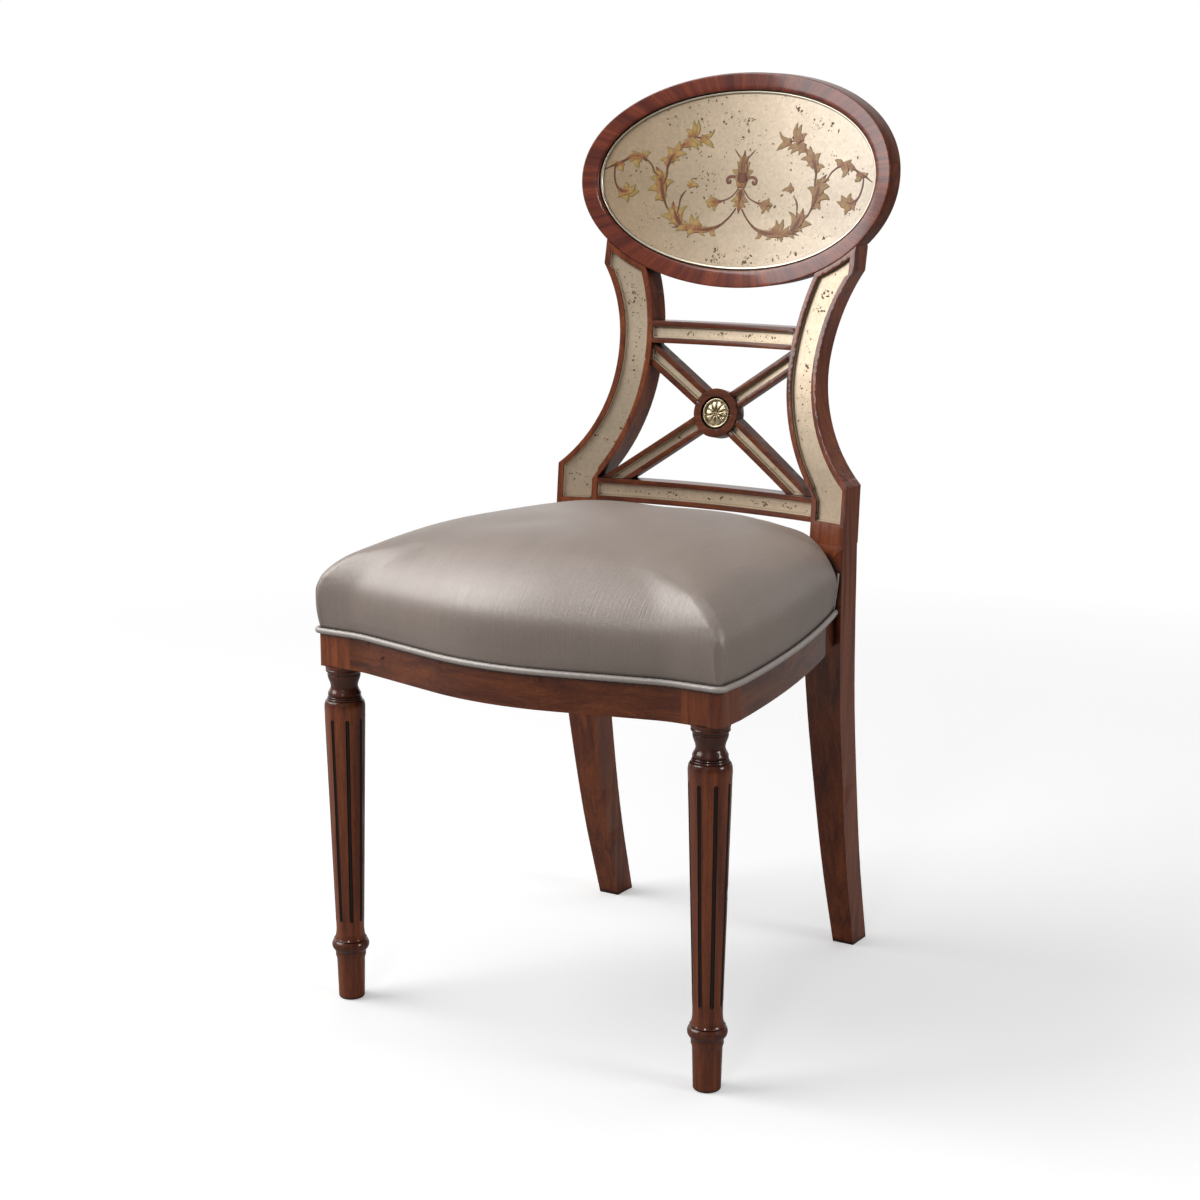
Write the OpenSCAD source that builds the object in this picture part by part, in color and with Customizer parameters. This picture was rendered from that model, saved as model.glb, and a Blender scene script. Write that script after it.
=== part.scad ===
// Side chair with an oval back panel, a crossed lattice splat and an upholstered bow-front seat.
// The chair faces -Y, X runs to its left and right, and z = 0 is the floor.
// Lengths are in millimetres. Every y value is measured from the axis of the front legs, and
// centred() then moves the whole chair so that the middle of its depth is at y = 0.

/* [Overall] */
// Gap left all round a glued or doweled piece
glue_gap = 0.1; // [0.05:0.05:0.2]

/* [Seat frame] */
// Height of the rails' underside above the floor
rail_z = 369; // [360:1:375]
// Height of the rail face that shows below the upholstery
rail_show_h = 35; // [30:1:38]
// Height of the rail behind the upholstery
rail_hidden_h = 25; // [20:1:30]
// Depth of the rebate that the upholstery is tacked into
rebate = 5.5; // [5:0.5:6]
// Thickness of the seat rails
rail_t = 22; // [20:1:24]
// Half width of the seat over the front blocks
seat_half_w = 240; // [232:1:246]
// Half width of the seat at the rear legs
seat_back_half_w = 176; // [172:0.5:182]
// Depth of the front blocks' face in front of the leg axis
block_front = 17.5; // [16:0.5:20]
// Width of a front block
block_w = 42; // [40:1:44]
// Depth of a front block
block_d = 40; // [38:1:42]
// Rounding of the seat's front corners
corner_r = 6; // [4:1:8]
// How far the front rail bows out in the middle
bow_depth = 36.5; // [25:0.5:42]
// Radius of the bow's middle stretch
bow_r = 300; // [280:5:340]
// Radius of the reverse curve beside each block
reverse_r = 120; // [60:5:140]
// How far each side rail bows out from a straight line
side_bow = 9; // [4:0.5:12]
// Depth of the seat from the leg axis to the face of the rear legs
seat_depth = 348; // [345:0.5:350]
// Distance of the rear rail's front behind the rear legs' face
rear_rail_set = 10; // [6:1:12]

/* [Front legs] */
// Distance of each leg's axis from the middle
leg_x = 220.4; // [218:0.2:222]
// Greatest radius of the turned shaft
shaft_r = 21.5; // [20:0.1:22]
// Radius of the shaft at its lower end
shaft_low_r = 14.9; // [13.6:0.1:15.4]
// Radius of the neck above the shaft
neck_r = 14.2; // [13:0.1:15]
// Radius of the cap under the block
cap_r = 19.3; // [18.6:0.1:20]
// Greatest radius of the bead above the foot
ankle_r = 19.9; // [19:0.1:20.4]
// Radius of the foot at the floor
foot_r = 13.9; // [13:0.1:14.4]
// Number of flutes round the shaft
flutes = 8; // [6:1:9]
// Width of a flute
flute_w = 4.2; // [3.4:0.1:4.8]
// Height of the flutes' lower end
flute_low_z = 88; // [82:1:110]
// Height of the flutes' upper end
flute_high_z = 313; // [280:1:316]

/* [Rear legs] */
// How far the foot splays back behind the leg's face at the seat
foot_splay = 78.2; // [67:0.2:87]
// Front to back thickness of the foot
foot_t = 33.4; // [30:0.2:36]
// Front to back thickness of the leg at the seat
leg_t = 37; // [35:0.5:39]
// Distance of the foot's outer edge from the middle
foot_out_x = 172; // [168:0.5:178]
// Distance of the foot's inner edge from the middle
foot_in_x = 146.2; // [142:0.2:148]
// Distance of the leg's inner edge from the middle, at the seat
leg_in_x = 138; // [136:0.5:140]
// Height above the rails where the square leg starts to turn inwards
turn_above = 3; // [1:0.5:8]
// Height over which it turns
turn_h = 46; // [40:1:48]

/* [Back curve] */
// Radius of the back's curve seen from above
bend_r = 680; // [640:5:740]
// Height above the waist where that radius is measured
bend_rise = 36; // [16:1:56]
// Distance of the back's face behind the seat at the middle, where the stiles start
back_set0 = 28.9; // [26:0.1:31]
// Same, at the lower cross rail
back_set1 = 36.9; // [35:0.1:39]
// Same, at the lattice
back_set2 = 52; // [50:0.1:54]
// Same, at the upper cross rail
back_set3 = 72.5; // [70:0.1:75]
// Same, at the foot of the oval
back_set4 = 90; // [88:0.1:92]
// Same, at the middle of the oval
back_set5 = 102.5; // [100:0.1:104]
// Same, at the top of the oval
back_set6 = 117.7; // [116:0.1:119]
// Height between two of these places
back_step = 80; // [79:0.5:82]
// Thickness of the stiles where they start
stile_low_t = 35; // [33:0.5:37]
// Thickness of the stiles from the waist up
stile_t = 29.5; // [28:0.5:31]

/* [Stiles] */
// Distance of the knee's corner from the middle
knee_x = 184.4; // [182:0.2:187]
// Height of the knee above the end of the inner curve
knee_rise = 6; // [2:0.5:10]
// Height of the waist above the lattice's centre
waist_rise = 57; // [49:1:65]
// Outer distance of the waist from the middle
waist_out_x = 127; // [125:0.5:130]
// Inner distance of the waist from the middle
waist_in_x = 88.7; // [86:0.5:91]
// Outer distance of the shoulder under the oval
shoulder_x = 158; // [155:0.5:161]
// Height of the shoulder below the oval's edge there
shoulder_drop = 26; // [22:1:30]
// Inner distance of the stile where it meets the oval
stile_top_in_x = 108; // [105:0.5:111]
// Inner distance of the stile where its straight foot starts
heel_x = 132; // [130:0.5:134]
// Height from the lower cross rail to where the straight inner edge ends
heel_gap = 1.5; // [0.5:0.5:3]
// Height from there to the end of the inner curve
heel_rise = 8; // [5:0.5:10]
// Width of the beads along the stiles
bead_w = 6; // [5:0.5:6.5]
// Depth of the gilt channel in the stiles
channel_d = 4; // [3:0.5:9]
// Thickness of the gilt liner's floor
liner_t = 2; // [1.5:0.5:2.5]
// Thickness of the gilt liner's walls
liner_wall = 0.8; // [0.6:0.1:1]
// Height of the channel's lower end above the stiles' start
channel_rise = 24; // [22:1:28]

/* [Oval] */
// Height from the upper cross rail to the oval
oval_gap = 39.3; // [34:0.1:46]
// Width of the oval
oval_w = 388; // [376:1:396]
// Height of the oval
oval_h = 236; // [228:1:240]
// Width of the ring's face
ring_w = 18.9; // [18:0.1:20]
// Thickness of the ring
ring_t = 27.3; // [26:0.1:29]
// Exponent of the oval's outline, 2 for an ellipse
oval_power = 2.05; // [2:0.01:2.12]
// Depth of the panel below the ring's face
panel_set = 6; // [5:0.5:7]
// Thickness of the painted panel
panel_t = 5; // [4:0.5:6]
// Thickness of the veneered board behind it
board_t = 13; // [11:0.5:14]
// Width of the rebate that holds both
panel_rebate = 5; // [4:0.5:6]
// Width of the metal fillet round the panel
fillet_w = 4.2; // [3.6:0.2:5]
// Height of the metal fillet above the panel
fillet_h = 3.4; // [2.6:0.2:4]

/* [Cross rails and lattice] */
// Height of the lower cross rail's edge above the stiles' start
low_rail_rise = 21.5; // [19:0.5:23]
// Height of the lower cross rail
low_rail_h = 26; // [24.6:0.2:26.4]
// Height of the lattice's centre above the lower cross rail
centre_rise = 81.5; // [76:0.5:86]
// Height of the upper cross rail's edge above the lattice's centre
top_rail_rise = 73.3; // [69:0.1:77]
// Height of the upper cross rail
top_rail_h = 24.4; // [23:0.2:26]
// Thickness of the cross rails
cross_rail_t = 20; // [19:0.5:22]
// Width of the beads along the cross rails and the lattice
slim_bead_w = 5.7; // [5:0.1:6.2]
// Depth of the channel in the cross rails and the lattice
slim_channel_d = 5; // [4:0.5:5.5]
// Rise of a lattice arm for each millimetre sideways
arm_slope = 0.69; // [0.66:0.01:0.71]
// Width of a lattice arm
arm_w = 20.3; // [19:0.1:21.5]
// Thickness of a lattice arm
arm_t = 16; // [15:0.5:17]
// Depth of the arms' face behind the back's face
arm_set = 4; // [3:0.5:4.5]
// Radius of the roundel
roundel_r = 27.5; // [26:0.5:29]
// Thickness of the roundel
roundel_t = 17; // [16:0.5:18]
// Depth of the roundel's face behind the back's face
roundel_set = 2.5; // [2:0.5:3]
// Radius of the roundel's sunk middle
roundel_sink_r = 18.6; // [18:0.2:19.4]
// Depth of the roundel's sunk middle
roundel_sink = 4; // [3:0.5:5]
// Radius of the brass rosette
rosette_r = 17; // [16:0.2:17.4]
// Number of petals on the rosette
petals = 8; // [6:1:12]

/* [Joints and fasteners] */
// Radius of the seat rails' dowels
rail_dowel_r = 5; // [4:0.5:5.5]
// Depth of each rail dowel in its rail
rail_dowel_in = 22; // [16:1:26]
// Depth of each rail dowel in its leg
leg_dowel_in = 14; // [10:1:16]
// Height between the two dowels of a joint
rail_dowel_pitch = 28; // [24:1:32]
// Radius of the dowels between the oval and the stiles
oval_dowel_r = 3.5; // [3:0.25:3.75]
// Radius of the dowels between the cross rails and the stiles
back_dowel_r = 3; // [2.5:0.25:3.25]
// Radius of the dowels between the lattice arms and the roundel
slim_dowel_r = 2.5; // [2:0.25:2.75]
// Depth of each back dowel on either side of its joint
back_dowel_in = 10; // [8:0.5:11]
// Depth of the back dowels' axis behind the back's face
back_dowel_set = 15; // [14.5:0.25:15.5]
// Length of a corner block along each rail
corner_leg = 62; // [56:1:68]
// Height of a corner block
corner_h = 40; // [34:1:44]
// Radius of a block screw's shank
screw_r = 2; // [1.5:0.1:2.3]
// Radius of a block screw's head
screw_head_r = 4; // [3.5:0.1:4.5]
// Length of a block screw in the rail
screw_in = 14; // [10:1:16]
// Radius of the rosette's stud
stud_r = 2; // [1.5:0.1:2.5]
// Length of the rosette's stud
stud_len = 8; // [6:0.5:9]

/* [Upholstery] */
// Width of a webbing strap
strap_w = 50; // [44:1:54]
// Thickness of a webbing strap
strap_t = 1.6; // [1.2:0.1:2]
// Number of straps from front to back
long_straps = 5; // [3:1:5]
// Number of straps from side to side
cross_straps = 5; // [3:1:5]
// Thickness of the hessian over the webbing
hessian_t = 1; // [0.8:0.1:1.2]
// Thickness of the fabric cover with its wadding
cover_t = 2.5; // [2:0.5:3]
// How far the cushion's sides swell past the rails
swell = 7; // [4:0.5:10]
// Same, beside and between the rear legs, where the sides draw in
rear_swell = -2.3; // [-2.5:0.1:2]
// Height of the cushion's straight side
side_h = 48; // [42:1:52]
// Height of the rounded roll over that side
roll_h = 42; // [34:1:46]
// How far in from the cushion's side the roll reaches
roll_w = 98; // [80:2:120]
// Height of the crown over the roll
crown_h = 33.5; // [26:0.5:38]
// How much lower the crown is in front of the rear legs
rear_dip = 11; // [6:1:16]
// Radius of the piping
piping_r = 3.1; // [2.6:0.1:3.4]
// Thickness of the cloth under the seat
dust_t = 0.8; // [0.6:0.1:1]

/* [Hidden] */

left = -1;
right = 1;
upper = 1;
lower = -1;

mahogany = [0.36, 0.14, 0.08];
secondary_wood = [0.62, 0.48, 0.33];
gilt = [0.78, 0.70, 0.50];
brass = [0.80, 0.68, 0.42];
fabric = [0.58, 0.54, 0.50];
jute = [0.66, 0.54, 0.36];
foam_colour = [0.90, 0.86, 0.72];
black_cloth = [0.12, 0.12, 0.12];
steel = [0.55, 0.55, 0.57];

// Cuts run past the faces they open by this much
past = 1;
// Steps along a curve
arc_steps = 14;
oval_steps = 96;
shell_fn = 720;
round_fn = 96;
// Height of one band of the back's face
band_h = 20;

rail_mid_z = rail_z + rail_show_h;
rail_top_z = rail_mid_z + rail_hidden_h;
block_y = -block_front;
front_y = block_y - bow_depth;
block_back_y = block_y + block_d;
block_in_x = seat_half_w - block_w;
rear_rail_y = seat_depth + rear_rail_set;
rear_rail_back_y = rear_rail_y + rail_t;

turn_low_z = rail_top_z + turn_above;
turn_high_z = turn_low_z + turn_h;
channel_low_z = turn_high_z + channel_rise;
low_rail_z = turn_high_z + low_rail_rise;
heel_low_z = low_rail_z + low_rail_h + heel_gap;
heel_z = heel_low_z + heel_rise;
knee_z = heel_z + knee_rise;
centre_z = low_rail_z + low_rail_h + centre_rise;
waist_z = centre_z + waist_rise;
top_rail_z = centre_z + top_rail_rise;
oval_bottom_z = top_rail_z + top_rail_h + oval_gap;

oval_a = oval_w / 2;
oval_b = oval_h / 2;
oval_z = oval_bottom_z + oval_b;
total_h = oval_bottom_z + oval_h;
plan_size = total_h;
// The oval is a little wider above its middle than below
oval_egg = 0.000246;

back_low_z = turn_high_z + 2;
back_sets = [back_set0, back_set1, back_set2, back_set3, back_set4, back_set5];
back_knots = [
    for (i = [0:len(back_sets) - 1]) [back_low_z + i * back_step, seat_depth + back_sets[i]],
    [total_h, seat_depth + back_set6]
];
// At each share of the rear leg's height, the share of the foot's splay that is left
leg_splay = [[0, 1], [0.2475, 0.63], [0.495, 0.352], [0.7426, 0.128], [1, 0]];
leg_knots = concat(
    [for (s = leg_splay) [rail_mid_z * s[0], seat_depth + foot_splay * s[1]]],
    [[turn_low_z, seat_depth]]
);

mid_depth = (front_y - swell + seat_depth + back_set6 + ring_t) / 2;
module centred() {
    translate([0, -mid_depth, 0]) children();
}
module on_side(side) {
    mirror([side < 0 ? 1 : 0, 0, 0]) children();
}

// Smooth curve through [place, value] pairs
function span(k, p, i = 0) = (i >= len(k) - 2 || p < k[i + 1][0]) ? i : span(k, p, i + 1);
function knot_slope(k, i) =
    let (a = max(i - 1, 0), b = min(i + 1, len(k) - 1))
    (k[b][1] - k[a][1]) / (k[b][0] - k[a][0]);
function curve_at(k, p) =
    let (i = span(k, p), w = k[i + 1][0] - k[i][0], t = (p - k[i][0]) / w)
    let (t2 = t * t, t3 = t2 * t)
    (2 * t3 - 3 * t2 + 1) * k[i][1] + (t3 - 2 * t2 + t) * w * knot_slope(k, i)
    + (3 * t2 - 2 * t3) * k[i + 1][1] + (t3 - t2) * w * knot_slope(k, i + 1);

function arc(c, r, a0, a1, n = arc_steps) =
    [for (i = [0:n]) let (a = a0 + (a1 - a0) * i / n) [c[0] + r * cos(a), c[1] + r * sin(a)]];
function flip(pts) = [for (i = [len(pts) - 1:-1:0]) [-pts[i][0], pts[i][1]]];
function backwards(pts) = [for (i = [len(pts) - 1:-1:0]) pts[i]];

// Back face: depth at the middle, and at a distance x from it
bend_y = curve_at(back_knots, waist_z + bend_rise) - bend_r;
function back_y(z) = curve_at(back_knots, z);
function face_y(x, z) = bend_y + sqrt(pow(back_y(z) - bend_y, 2) - x * x);
function lean(z) = atan((back_y(z + 1) - back_y(z - 1)) / 2);
stile_t_knots = [[turn_high_z, stile_low_t], [waist_z, stile_t], [total_h, stile_t]];
function linear_at(k, p) =
    let (i = span(k, p)) k[i][1] + (k[i + 1][1] - k[i][1]) * (p - k[i][0]) / (k[i + 1][0] - k[i][0]);
function stile_depth(z) = linear_at(stile_t_knots, max(z, turn_high_z));

// A layer of the curved back between two depths below its face, from height z0 to z1
module layer(z0, z1, d0, d1) {
    n = ceil((z1 - z0) / band_h);
    heights = [for (i = [0:n]) z0 + (z1 - z0) * i / n];
    translate([0, bend_y, 0])
        rotate_extrude($fn = shell_fn)
            polygon(concat(
                [for (z = heights) [back_y(z) - bend_y + d0, z]],
                backwards([for (z = heights) [back_y(z) - bend_y + d1, z]])
            ));
}
module stile_layer(z0, z1) {
    n = ceil((z1 - z0) / band_h);
    heights = [for (i = [0:n]) z0 + (z1 - z0) * i / n];
    translate([0, bend_y, 0])
        rotate_extrude($fn = shell_fn)
            polygon(concat(
                [for (z = heights) [back_y(z) - bend_y, z]],
                backwards([for (z = heights) [back_y(z) - bend_y + stile_depth(z), z]])
            ));
}
// The gilt liners stop this far below the wood's face, and start this far from a stile
liner_lip = 1.5;
end_bead_w = 0.5;
// A front view outline carried through the whole thickness of the back
back_near_y = seat_depth - rail_t;
back_far_y = seat_depth + back_set6 + 2 * ring_t;
module through_back() {
    translate([0, back_far_y, 0])
        rotate([90, 0, 0])
            linear_extrude(back_far_y - back_near_y) children();
}

// Oval outlines, d inside the oval's edge
function oval_point(a, b, t) =
    let (c = cos(t), s = sin(t), p = 2 / oval_power)
    let (h = b * sign(s) * pow(abs(s), p))
    [a * sign(c) * pow(abs(c), p) * (1 + oval_egg * h), oval_z + h];
function oval_outline(d) =
    [for (i = [0:oval_steps - 1]) oval_point(oval_a - d, oval_b - d, 360 * i / oval_steps)];
function oval_low_z(x, d = 0) = oval_z - (oval_b - d) * sqrt(1 - pow(x / (oval_a - d), 2));

// Stile outlines, d inside the stile's edges
function radius_between(dx, dz) = (dx * dx + dz * dz) / (2 * dx);
shoulder_z = oval_low_z(shoulder_x) - shoulder_drop;
out_low_r = radius_between(knee_x - waist_out_x, waist_z - knee_z);
out_high_r = radius_between(shoulder_x - waist_out_x, shoulder_z - waist_z);
in_low_r = radius_between(heel_x - waist_in_x, waist_z - heel_z);
in_high_r = radius_between(stile_top_in_x - waist_in_x, oval_low_z(stile_top_in_x) - waist_z);
stile_over = 30;
function side_arc_low(x, r, d, z) =
    let (a = asin((waist_z - z) / (r + d))) arc([x + r, waist_z], r + d, 180 + a, 180);
function side_arc_high(x, r, d, z) =
    let (a = asin((z - waist_z) / (r + d))) arc([x + r, waist_z], r + d, 180, 180 - a);
function knee_low_z(d) =
    waist_z - sqrt(pow(out_low_r + d, 2) - pow(out_low_r - (knee_x - waist_out_x) + d, 2));
function stile_outline(d, low_z) = concat(
    [[leg_in_x + d, low_z], [leg_in_x + d, heel_low_z - d * 0.4], [heel_x + d, heel_z - d * 0.2]],
    side_arc_low(waist_in_x, in_low_r, -d, heel_z + d * 0.4),
    side_arc_high(waist_in_x, in_high_r, -d, oval_low_z(stile_top_in_x)),
    [[stile_top_in_x + d, oval_low_z(stile_top_in_x) + stile_over]],
    [[shoulder_x - d, oval_low_z(stile_top_in_x) + 2 * stile_over], [shoulder_x - d, shoulder_z - d * 0.5]],
    backwards(side_arc_high(waist_out_x, out_high_r, d, shoulder_z - d)),
    backwards(side_arc_low(waist_out_x, out_low_r, d, knee_low_z(d))),
    [[knee_x - d, low_z]]
);
module stile_plan(d, low_z, top_d) {
    difference() {
        polygon(stile_outline(d, low_z));
        polygon(oval_outline(-top_d));
    }
}

// Rear legs
leg_mid_z = rail_mid_z / 2;
leg_mid_out_x = foot_out_x + 6.7;
leg_mid_in_x = leg_in_x + 4.7;
leg_out_knots = [[0, foot_out_x], [leg_mid_z, leg_mid_out_x], [rail_mid_z, knee_x]];
leg_in_knots = [[0, foot_in_x], [leg_mid_z, leg_mid_in_x], [rail_mid_z, leg_in_x]];
leg_t_knots = [[0, foot_t], [rail_z, leg_t], [turn_low_z, leg_t]];
leg_steps = 14;
leg_heights = concat([for (i = [0:leg_steps]) rail_mid_z * i / leg_steps], [turn_low_z]);
module leg_side_profile() {
    polygon(concat(
        [for (z = leg_heights) [curve_at(leg_knots, z), z]],
        backwards([for (z = leg_heights) [curve_at(leg_knots, z) + linear_at(leg_t_knots, z), z]])
    ));
}
module leg_front_profile() {
    polygon(concat(
        [for (z = leg_heights) [z > rail_mid_z ? knee_x : curve_at(leg_out_knots, z), z]],
        backwards([for (z = leg_heights) [z > rail_mid_z ? leg_in_x : curve_at(leg_in_knots, z), z]])
    ));
}
module square_leg() {
    intersection() {
        through_back() leg_front_profile();
        rotate([90, 0, 90])
            linear_extrude(plan_size / 2) leg_side_profile();
    }
}
slice_h = 0.01;
module turning_leg() {
    hull() {
        translate([leg_in_x, seat_depth, turn_low_z - past])
            cube([knee_x - leg_in_x, leg_t, past]);
        translate([0, 0, turn_high_z - slice_h])
            linear_extrude(slice_h)
                polygon([
                    [leg_in_x, face_y(leg_in_x, turn_high_z)],
                    [knee_x, face_y(knee_x, turn_high_z)],
                    [knee_x, face_y(knee_x, turn_high_z) + stile_low_t],
                    [leg_in_x, face_y(leg_in_x, turn_high_z) + stile_low_t]
                ]);
    }
}
module rear_leg(side) {
    color(mahogany)
        centred() on_side(side) difference() {
            union() {
                square_leg();
                turning_leg();
                intersection() {
                    through_back() stile_plan(0, turn_high_z, 0);
                    stile_layer(turn_high_z, oval_z);
                }
            }
            intersection() {
                through_back() stile_plan(bead_w, channel_low_z, bead_w);
                layer(channel_low_z - past, oval_z, -past, channel_d + liner_t);
            }
            side_rail_dowel_set(rear_end);
            rear_rail_dowel_set();
            oval_dowel_pair();
            cross_rail_dowel_pair();
        }
}
module stile_channel(side) {
    color(gilt)
        centred() on_side(side) difference() {
            intersection() {
                through_back() stile_plan(bead_w + glue_gap, channel_low_z + glue_gap, bead_w + glue_gap);
                layer(channel_low_z, oval_z, liner_lip, channel_d + liner_t);
            }
            intersection() {
                through_back() stile_plan(
                    bead_w + glue_gap + liner_wall,
                    channel_low_z + glue_gap + liner_wall,
                    bead_w + glue_gap + liner_wall
                );
                layer(channel_low_z - past, oval_z + past, -past, channel_d);
            }
        }
}

// Seat outline, d inside the rails' outer face
bow_span = bow_r + reverse_r;
bow_a = atan2(block_in_x, bow_span - bow_depth)
    - acos(bow_span / sqrt(pow(block_in_x, 2) + pow(bow_span - bow_depth, 2)));
side_start = [seat_half_w, block_back_y];
side_end = [seat_back_half_w, seat_depth];
side_chord = norm(side_end - side_start);
side_r = side_chord * side_chord / (8 * side_bow) + side_bow / 2;
side_chord_a = atan2(side_end[1] - side_start[1], side_end[0] - side_start[0]);
side_half_a = asin(side_chord / (2 * side_r));
side_c = (side_start + side_end) / 2
    + (side_r - side_bow) * [cos(side_chord_a + 90), sin(side_chord_a + 90)];
function half_outline(d, n = arc_steps) =
    let (rr = max(corner_r - d, 0.5), few = ceil(n / 3) + 1)
    concat(
        arc([0, front_y + bow_r], bow_r - d, -90, bow_a - 90, n),
        arc([block_in_x, block_y - reverse_r], reverse_r + d, 90 + bow_a, 90, few),
        arc([seat_half_w - d - rr, block_y + d + rr], rr, -90, 0, few),
        arc(side_c, side_r - d, side_chord_a - 90 - side_half_a, side_chord_a - 90 + side_half_a, n)
    );
function seat_outline(d, end_y) = concat(
    half_outline(d),
    [[seat_back_half_w - d, end_y], [-seat_back_half_w + d, end_y]],
    flip(half_outline(d))
);
module rail_band(d0, d1) {
    difference() {
        polygon(seat_outline(d0, rear_rail_back_y));
        polygon(seat_outline(d1, rear_rail_back_y + past));
    }
}
module rail_solid() {
    translate([0, 0, rail_z]) linear_extrude(rail_show_h) difference() {
        rail_band(0, rail_t);
        children();
    }
    translate([0, 0, rail_mid_z]) linear_extrude(rail_hidden_h) difference() {
        rail_band(rebate, rail_t);
        children();
    }
}
// Everything outside a window of the seat's plan
module outside(x0, x1, y0, y1) {
    difference() {
        square(plan_size, center = true);
        translate([x0, y0]) square([x1 - x0, y1 - y0]);
    }
}
module front_rail() {
    color(mahogany)
        centred() difference() {
            rail_solid() outside(-block_in_x, block_in_x, front_y - past, block_back_y);
            for (side = [left, right]) on_side(side) {
                front_rail_dowel_set();
                front_block_screw(front_screw);
            }
        }
}
rail_in_leg = 12;
module side_rail(side) {
    color(mahogany)
        centred() on_side(side) difference() {
            rail_solid() outside(0, plan_size / 2, block_back_y, seat_depth + rail_in_leg);
            square_leg();
            side_rail_dowel_set(front_end);
            side_rail_dowel_set(rear_end);
            front_block_screw(side_screw);
            rear_block_screw(side_screw);
        }
}
module rear_rail() {
    color(mahogany)
        centred() difference() {
            translate([-leg_in_x, rear_rail_y, rail_z])
                cube([2 * leg_in_x, rail_t, rail_show_h + rail_hidden_h]);
            translate([-leg_in_x - past, rear_rail_back_y - rebate, rail_mid_z])
                cube([2 * (leg_in_x + past), rebate + past, rail_hidden_h + past]);
            for (side = [left, right]) on_side(side) {
                square_leg();
                rear_rail_dowel_set();
                rear_block_screw(rear_screw);
            }
        }
}

// Front legs: turned shaft, foot and cap, with a square block on top
cap_disc_z = rail_z - 5.5;
cap_foot_z = rail_z - 10;
neck_top_z = rail_z - 23;
collar_z = rail_z - 31.6;
bead_gap_z = rail_z - 33;
ring_gap_z = rail_z - 35.2;
shoulder_top_z = rail_z - 37.6;
taper_top_z = rail_z - 46;
neck_flare = 3.2;
shaft_low_z = 79;
ankle_top_z = 66.6;
ankle_z = 60.3;
ankle_low_z = 53;
foot_top_z = 44.5;
foot_round = 2.5;
ankle_flare = 3;
leg_profile = concat(
    [[0, 0], [foot_r - foot_round, 0]],
    arc([foot_r - foot_round, foot_round], foot_round, -90, 0, 5),
    [[foot_r + 1.1, foot_top_z], [foot_r + 1.5, foot_top_z + 0.8], [foot_r + 1.5, foot_top_z + 2.2]],
    [[foot_r + 2.3, foot_top_z + 3.4], [foot_r + 2.4, ankle_low_z]],
    [for (t = [0:9]) let (a = -60 + 120 * t / 9)
        [ankle_r - 6.5 + 6.5 * cos(a), ankle_z + 7.1 * sin(a)]],
    [[shaft_low_r + ankle_flare - 0.6, ankle_top_z]],
    [for (t = [0:6]) let (a = 90 * t / 6)
        [shaft_low_r + ankle_flare * (1 - sin(a)),
            ankle_top_z + 0.4 + (shaft_low_z - ankle_top_z) * (1 - cos(a))]],
    [[shaft_r, taper_top_z]],
    [for (t = [1:6]) let (a = 90 * t / 6)
        [shaft_r - 2.6 * (1 - cos(a)), taper_top_z + (shoulder_top_z - taper_top_z) * sin(a)]],
    [[shaft_r - 3.4, shoulder_top_z + 0.4]],
    arc([shaft_r - 4.1, (shoulder_top_z + ring_gap_z) / 2], 1.1, -70, 70, 5),
    [[shaft_r - 4.3, ring_gap_z]],
    arc([shaft_r - 4.9, (ring_gap_z + bead_gap_z) / 2], 1.05, -70, 70, 5),
    [[shaft_r - 4.9, bead_gap_z]],
    [for (t = [0:6])
        [neck_r + neck_flare * (1 + cos(180 * t / 6)) / 2, collar_z + (neck_top_z - collar_z) * t / 6]],
    [for (t = [1:7])
        [neck_r + neck_flare * (1 - cos(180 * t / 7)) / 2, neck_top_z + (cap_foot_z - neck_top_z) * t / 7]],
    [[neck_r + neck_flare - 0.5, cap_foot_z + 0.3]],
    arc([cap_r - 2.6, cap_disc_z], 2.4, -70, 40, 6),
    [[cap_r, rail_z - 2.6], [cap_r, rail_z], [0, rail_z]]
);
flute_out = 0.4;
shaft_taper = (shaft_r - shaft_low_r) / (taper_top_z - shaft_low_z);
flute_lean = atan(shaft_taper);
function shaft_at(z) = shaft_low_r + shaft_taper * (z - shaft_low_z);
module flute() {
    reach = (flute_high_z - flute_low_z - flute_w) / cos(flute_lean);
    translate([shaft_at(flute_low_z + flute_w / 2) + flute_out, 0, flute_low_z + flute_w / 2])
        rotate([0, flute_lean, 0]) {
            cylinder(r = flute_w / 2, h = reach, $fn = 32);
            sphere(r = flute_w / 2, $fn = 32);
            translate([0, 0, reach]) sphere(r = flute_w / 2, $fn = 32);
        }
}
module block_plan(d) {
    intersection() {
        polygon(seat_outline(d, rear_rail_y));
        translate([block_in_x, block_y - past]) square([block_w + past, block_d + past]);
    }
}
module front_leg(side) {
    color(mahogany)
        centred() on_side(side) difference() {
            union() {
                difference() {
                    translate([leg_x, 0, 0]) rotate_extrude($fn = round_fn) polygon(leg_profile);
                    for (i = [0:flutes - 1])
                        translate([leg_x, 0, 0]) rotate([0, 0, 360 * i / flutes]) flute();
                }
                translate([0, 0, rail_z]) linear_extrude(rail_show_h) block_plan(0);
                translate([0, 0, rail_mid_z]) linear_extrude(rail_hidden_h) block_plan(rebate);
            }
            front_rail_dowel_set();
            side_rail_dowel_set(front_end);
        }
}

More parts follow.
